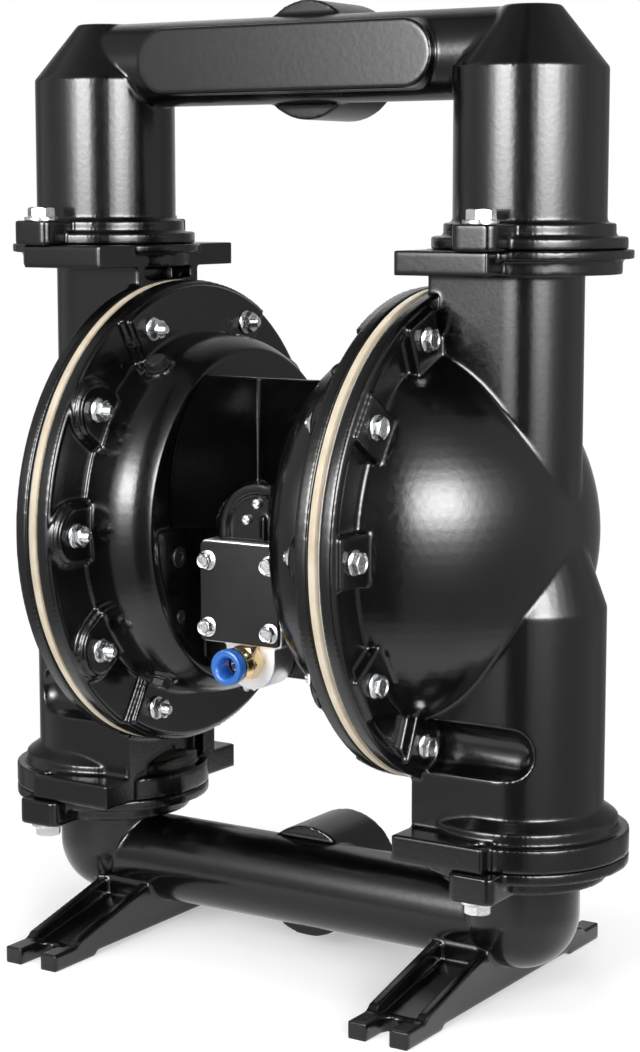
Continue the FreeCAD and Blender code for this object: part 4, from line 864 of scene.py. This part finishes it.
def build_world():
    """White where the camera or gloss sees it, and softer as light."""
    world = bpy.data.worlds.new("studio")
    bpy.context.scene.world = world
    tree = empty_tree(world)
    out = node(tree, "ShaderNodeOutputWorld", (600, 0))
    soft = node(tree, "ShaderNodeBackground", (0, 100), {"Color": (1, 1, 1, 1), "Strength": WORLD_LEVEL})
    white = node(tree, "ShaderNodeBackground", (0, -100), {"Color": (1, 1, 1, 1), "Strength": 1.0})
    path = node(tree, "ShaderNodeLightPath", (-400, 300))
    seen = node(tree, "ShaderNodeMath", (-200, 300), operation="MAXIMUM")
    tree.links.new(path.outputs["Is Camera Ray"], seen.inputs[0])
    tree.links.new(path.outputs["Is Glossy Ray"], seen.inputs[1])
    both = node(tree, "ShaderNodeMath", (0, 300), operation="MAXIMUM")
    tree.links.new(seen.outputs[0], both.inputs[0])
    tree.links.new(path.outputs["Is Transmission Ray"], both.inputs[1])
    mix = node(tree, "ShaderNodeMixShader", (300, 0))
    tree.links.new(both.outputs[0], mix.inputs[0])
    tree.links.new(soft.outputs[0], mix.inputs[1])
    tree.links.new(white.outputs[0], mix.inputs[2])
    tree.links.new(mix.outputs[0], out.inputs["Surface"])


def pale_floor():
    """The floor's material: pale near the pump, and fading to white further out.

    The near floor catches shadows and is lifted a little, by FLOOR_WHITE for the camera
    and by FLOOR_GLOW for gloss. Gloss sees through the far floor to the shell.
    """
    mat = bpy.data.materials.new("pale_floor")
    tree = empty_tree(mat)
    out = node(tree, "ShaderNodeOutputMaterial", (600, 0))
    diffuse = node(tree, "ShaderNodeBsdfDiffuse", (0, 100),
                   {"Color": (FLOOR_GREY, FLOOR_GREY, FLOOR_GREY, 1), "Roughness": 1.0})
    glow = node(tree, "ShaderNodeEmission", (-200, -100), {"Color": (1, 1, 1, 1), "Strength": 1.0})
    clear = node(tree, "ShaderNodeBsdfTransparent", (-200, -250))
    path = node(tree, "ShaderNodeLightPath", (-600, -300))
    far = node(tree, "ShaderNodeMixShader", (50, -150))
    tree.links.new(path.outputs["Is Glossy Ray"], far.inputs[0])
    tree.links.new(glow.outputs[0], far.inputs[1])
    tree.links.new(clear.outputs[0], far.inputs[2])
    coords = node(tree, "ShaderNodeTexCoord", (-800, 0))
    distance = node(tree, "ShaderNodeVectorMath", (-600, 0), operation="LENGTH")
    tree.links.new(coords.outputs["Object"], distance.inputs[0])
    start = node(tree, "ShaderNodeMapRange", (-600, 250),
                 {"To Min": FADE_START, "To Max": FADE_START_IN_GLOSS})
    tree.links.new(path.outputs["Is Glossy Ray"], start.inputs["Value"])
    fade = node(tree, "ShaderNodeMapRange", (-400, 0), {"From Max": FADE_END})
    tree.links.new(start.outputs[0], fade.inputs["From Min"])
    tree.links.new(distance.outputs["Value"], fade.inputs["Value"])
    shown = node(tree, "ShaderNodeMath", (-400, 350), {1: FLOOR_WHITE}, operation="MULTIPLY")
    tree.links.new(path.outputs["Is Camera Ray"], shown.inputs[0])
    level = node(tree, "ShaderNodeMath", (-200, 250), {1: FLOOR_GLOW}, operation="MULTIPLY_ADD")
    tree.links.new(path.outputs["Is Glossy Ray"], level.inputs[0])
    tree.links.new(shown.outputs[0], level.inputs[2])
    near = node(tree, "ShaderNodeEmission", (0, 250))
    tree.links.new(level.outputs[0], near.inputs["Strength"])
    lit = node(tree, "ShaderNodeAddShader", (150, 150))
    tree.links.new(diffuse.outputs[0], lit.inputs[0])
    tree.links.new(near.outputs[0], lit.inputs[1])
    mix = node(tree, "ShaderNodeMixShader", (300, 0))
    tree.links.new(fade.outputs[0], mix.inputs[0])
    tree.links.new(lit.outputs[0], mix.inputs[1])
    tree.links.new(far.outputs[0], mix.inputs[2])
    tree.links.new(mix.outputs[0], out.inputs["Surface"])
    return mat


def build_floor():
    """A round floor, wide enough to fill the picture."""
    bm = bmesh.new()
    bmesh.ops.create_circle(bm, cap_ends=True, radius=FLOOR_R, segments=96)
    floor = new_object("floor", new_mesh("floor", bm))
    floor.data.materials.append(pale_floor())
    return floor


def build_lamps():
    """Soft lamps at both sides, above and behind."""
    return [
        area_light("left_fill", beside_the_camera(-98), (0, 0, 0.9), 1.9, 1.6, power=38, glossy=False),
        area_light("right_fill", beside_the_camera(-33), (0, 0, 0.9), 1.9, 1.6, power=32, glossy=False),
        area_light("top", (0.2, -0.3, 2.4), (0, 0, 0.3), 1.2, 1.2, power=20, glossy=False),
        area_light("back_left", (-1.6, 1.7, 2.0), (0, 0, 0.35), 0.8, 0.8, power=24),
    ]


def build_camera():
    """The camera in the photograph's place."""
    data = bpy.data.cameras.new("camera")
    data.lens = CAMERA_LENS
    data.sensor_width = SENSOR
    data.sensor_fit = "AUTO"
    data.clip_end = 50.0
    camera = new_object("camera", data)
    camera.location = CAMERA_PLACE
    a = math.radians(CAMERA_AZIMUTH)
    p = math.radians(CAMERA_PITCH)
    ahead = Vector((-math.sin(a) * math.cos(p), math.cos(a) * math.cos(p), math.sin(p)))
    camera.rotation_euler = ahead.to_track_quat("-Z", "Y").to_euler()
    bpy.context.scene.camera = camera


def build_stage():
    """Floor, white surroundings, soft lamps and the camera."""
    bpy.context.scene.view_settings.view_transform = "Standard"
    build_world()
    floor = build_floor()
    lamps = build_lamps()
    studio_shell()
    build_camera()


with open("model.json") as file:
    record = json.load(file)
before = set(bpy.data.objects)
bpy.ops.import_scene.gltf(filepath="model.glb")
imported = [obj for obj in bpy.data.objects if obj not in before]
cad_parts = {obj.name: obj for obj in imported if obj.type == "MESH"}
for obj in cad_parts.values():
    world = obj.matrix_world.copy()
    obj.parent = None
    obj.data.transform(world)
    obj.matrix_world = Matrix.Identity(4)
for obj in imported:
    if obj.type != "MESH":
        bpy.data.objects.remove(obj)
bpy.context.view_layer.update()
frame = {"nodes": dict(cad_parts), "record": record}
materials = build_materials()
dress_cad_nodes()
build_castings()
build_flange_fasteners()
build_manifold_bolts()
build_diaphragms()
build_valve_block()
build_cover()
build_cover_bolts()
build_pilot_screws()
build_fitting()
build_grip_ring()
build_collet()
build_drum_plugs()
build_cap_plugs()
build_stage()
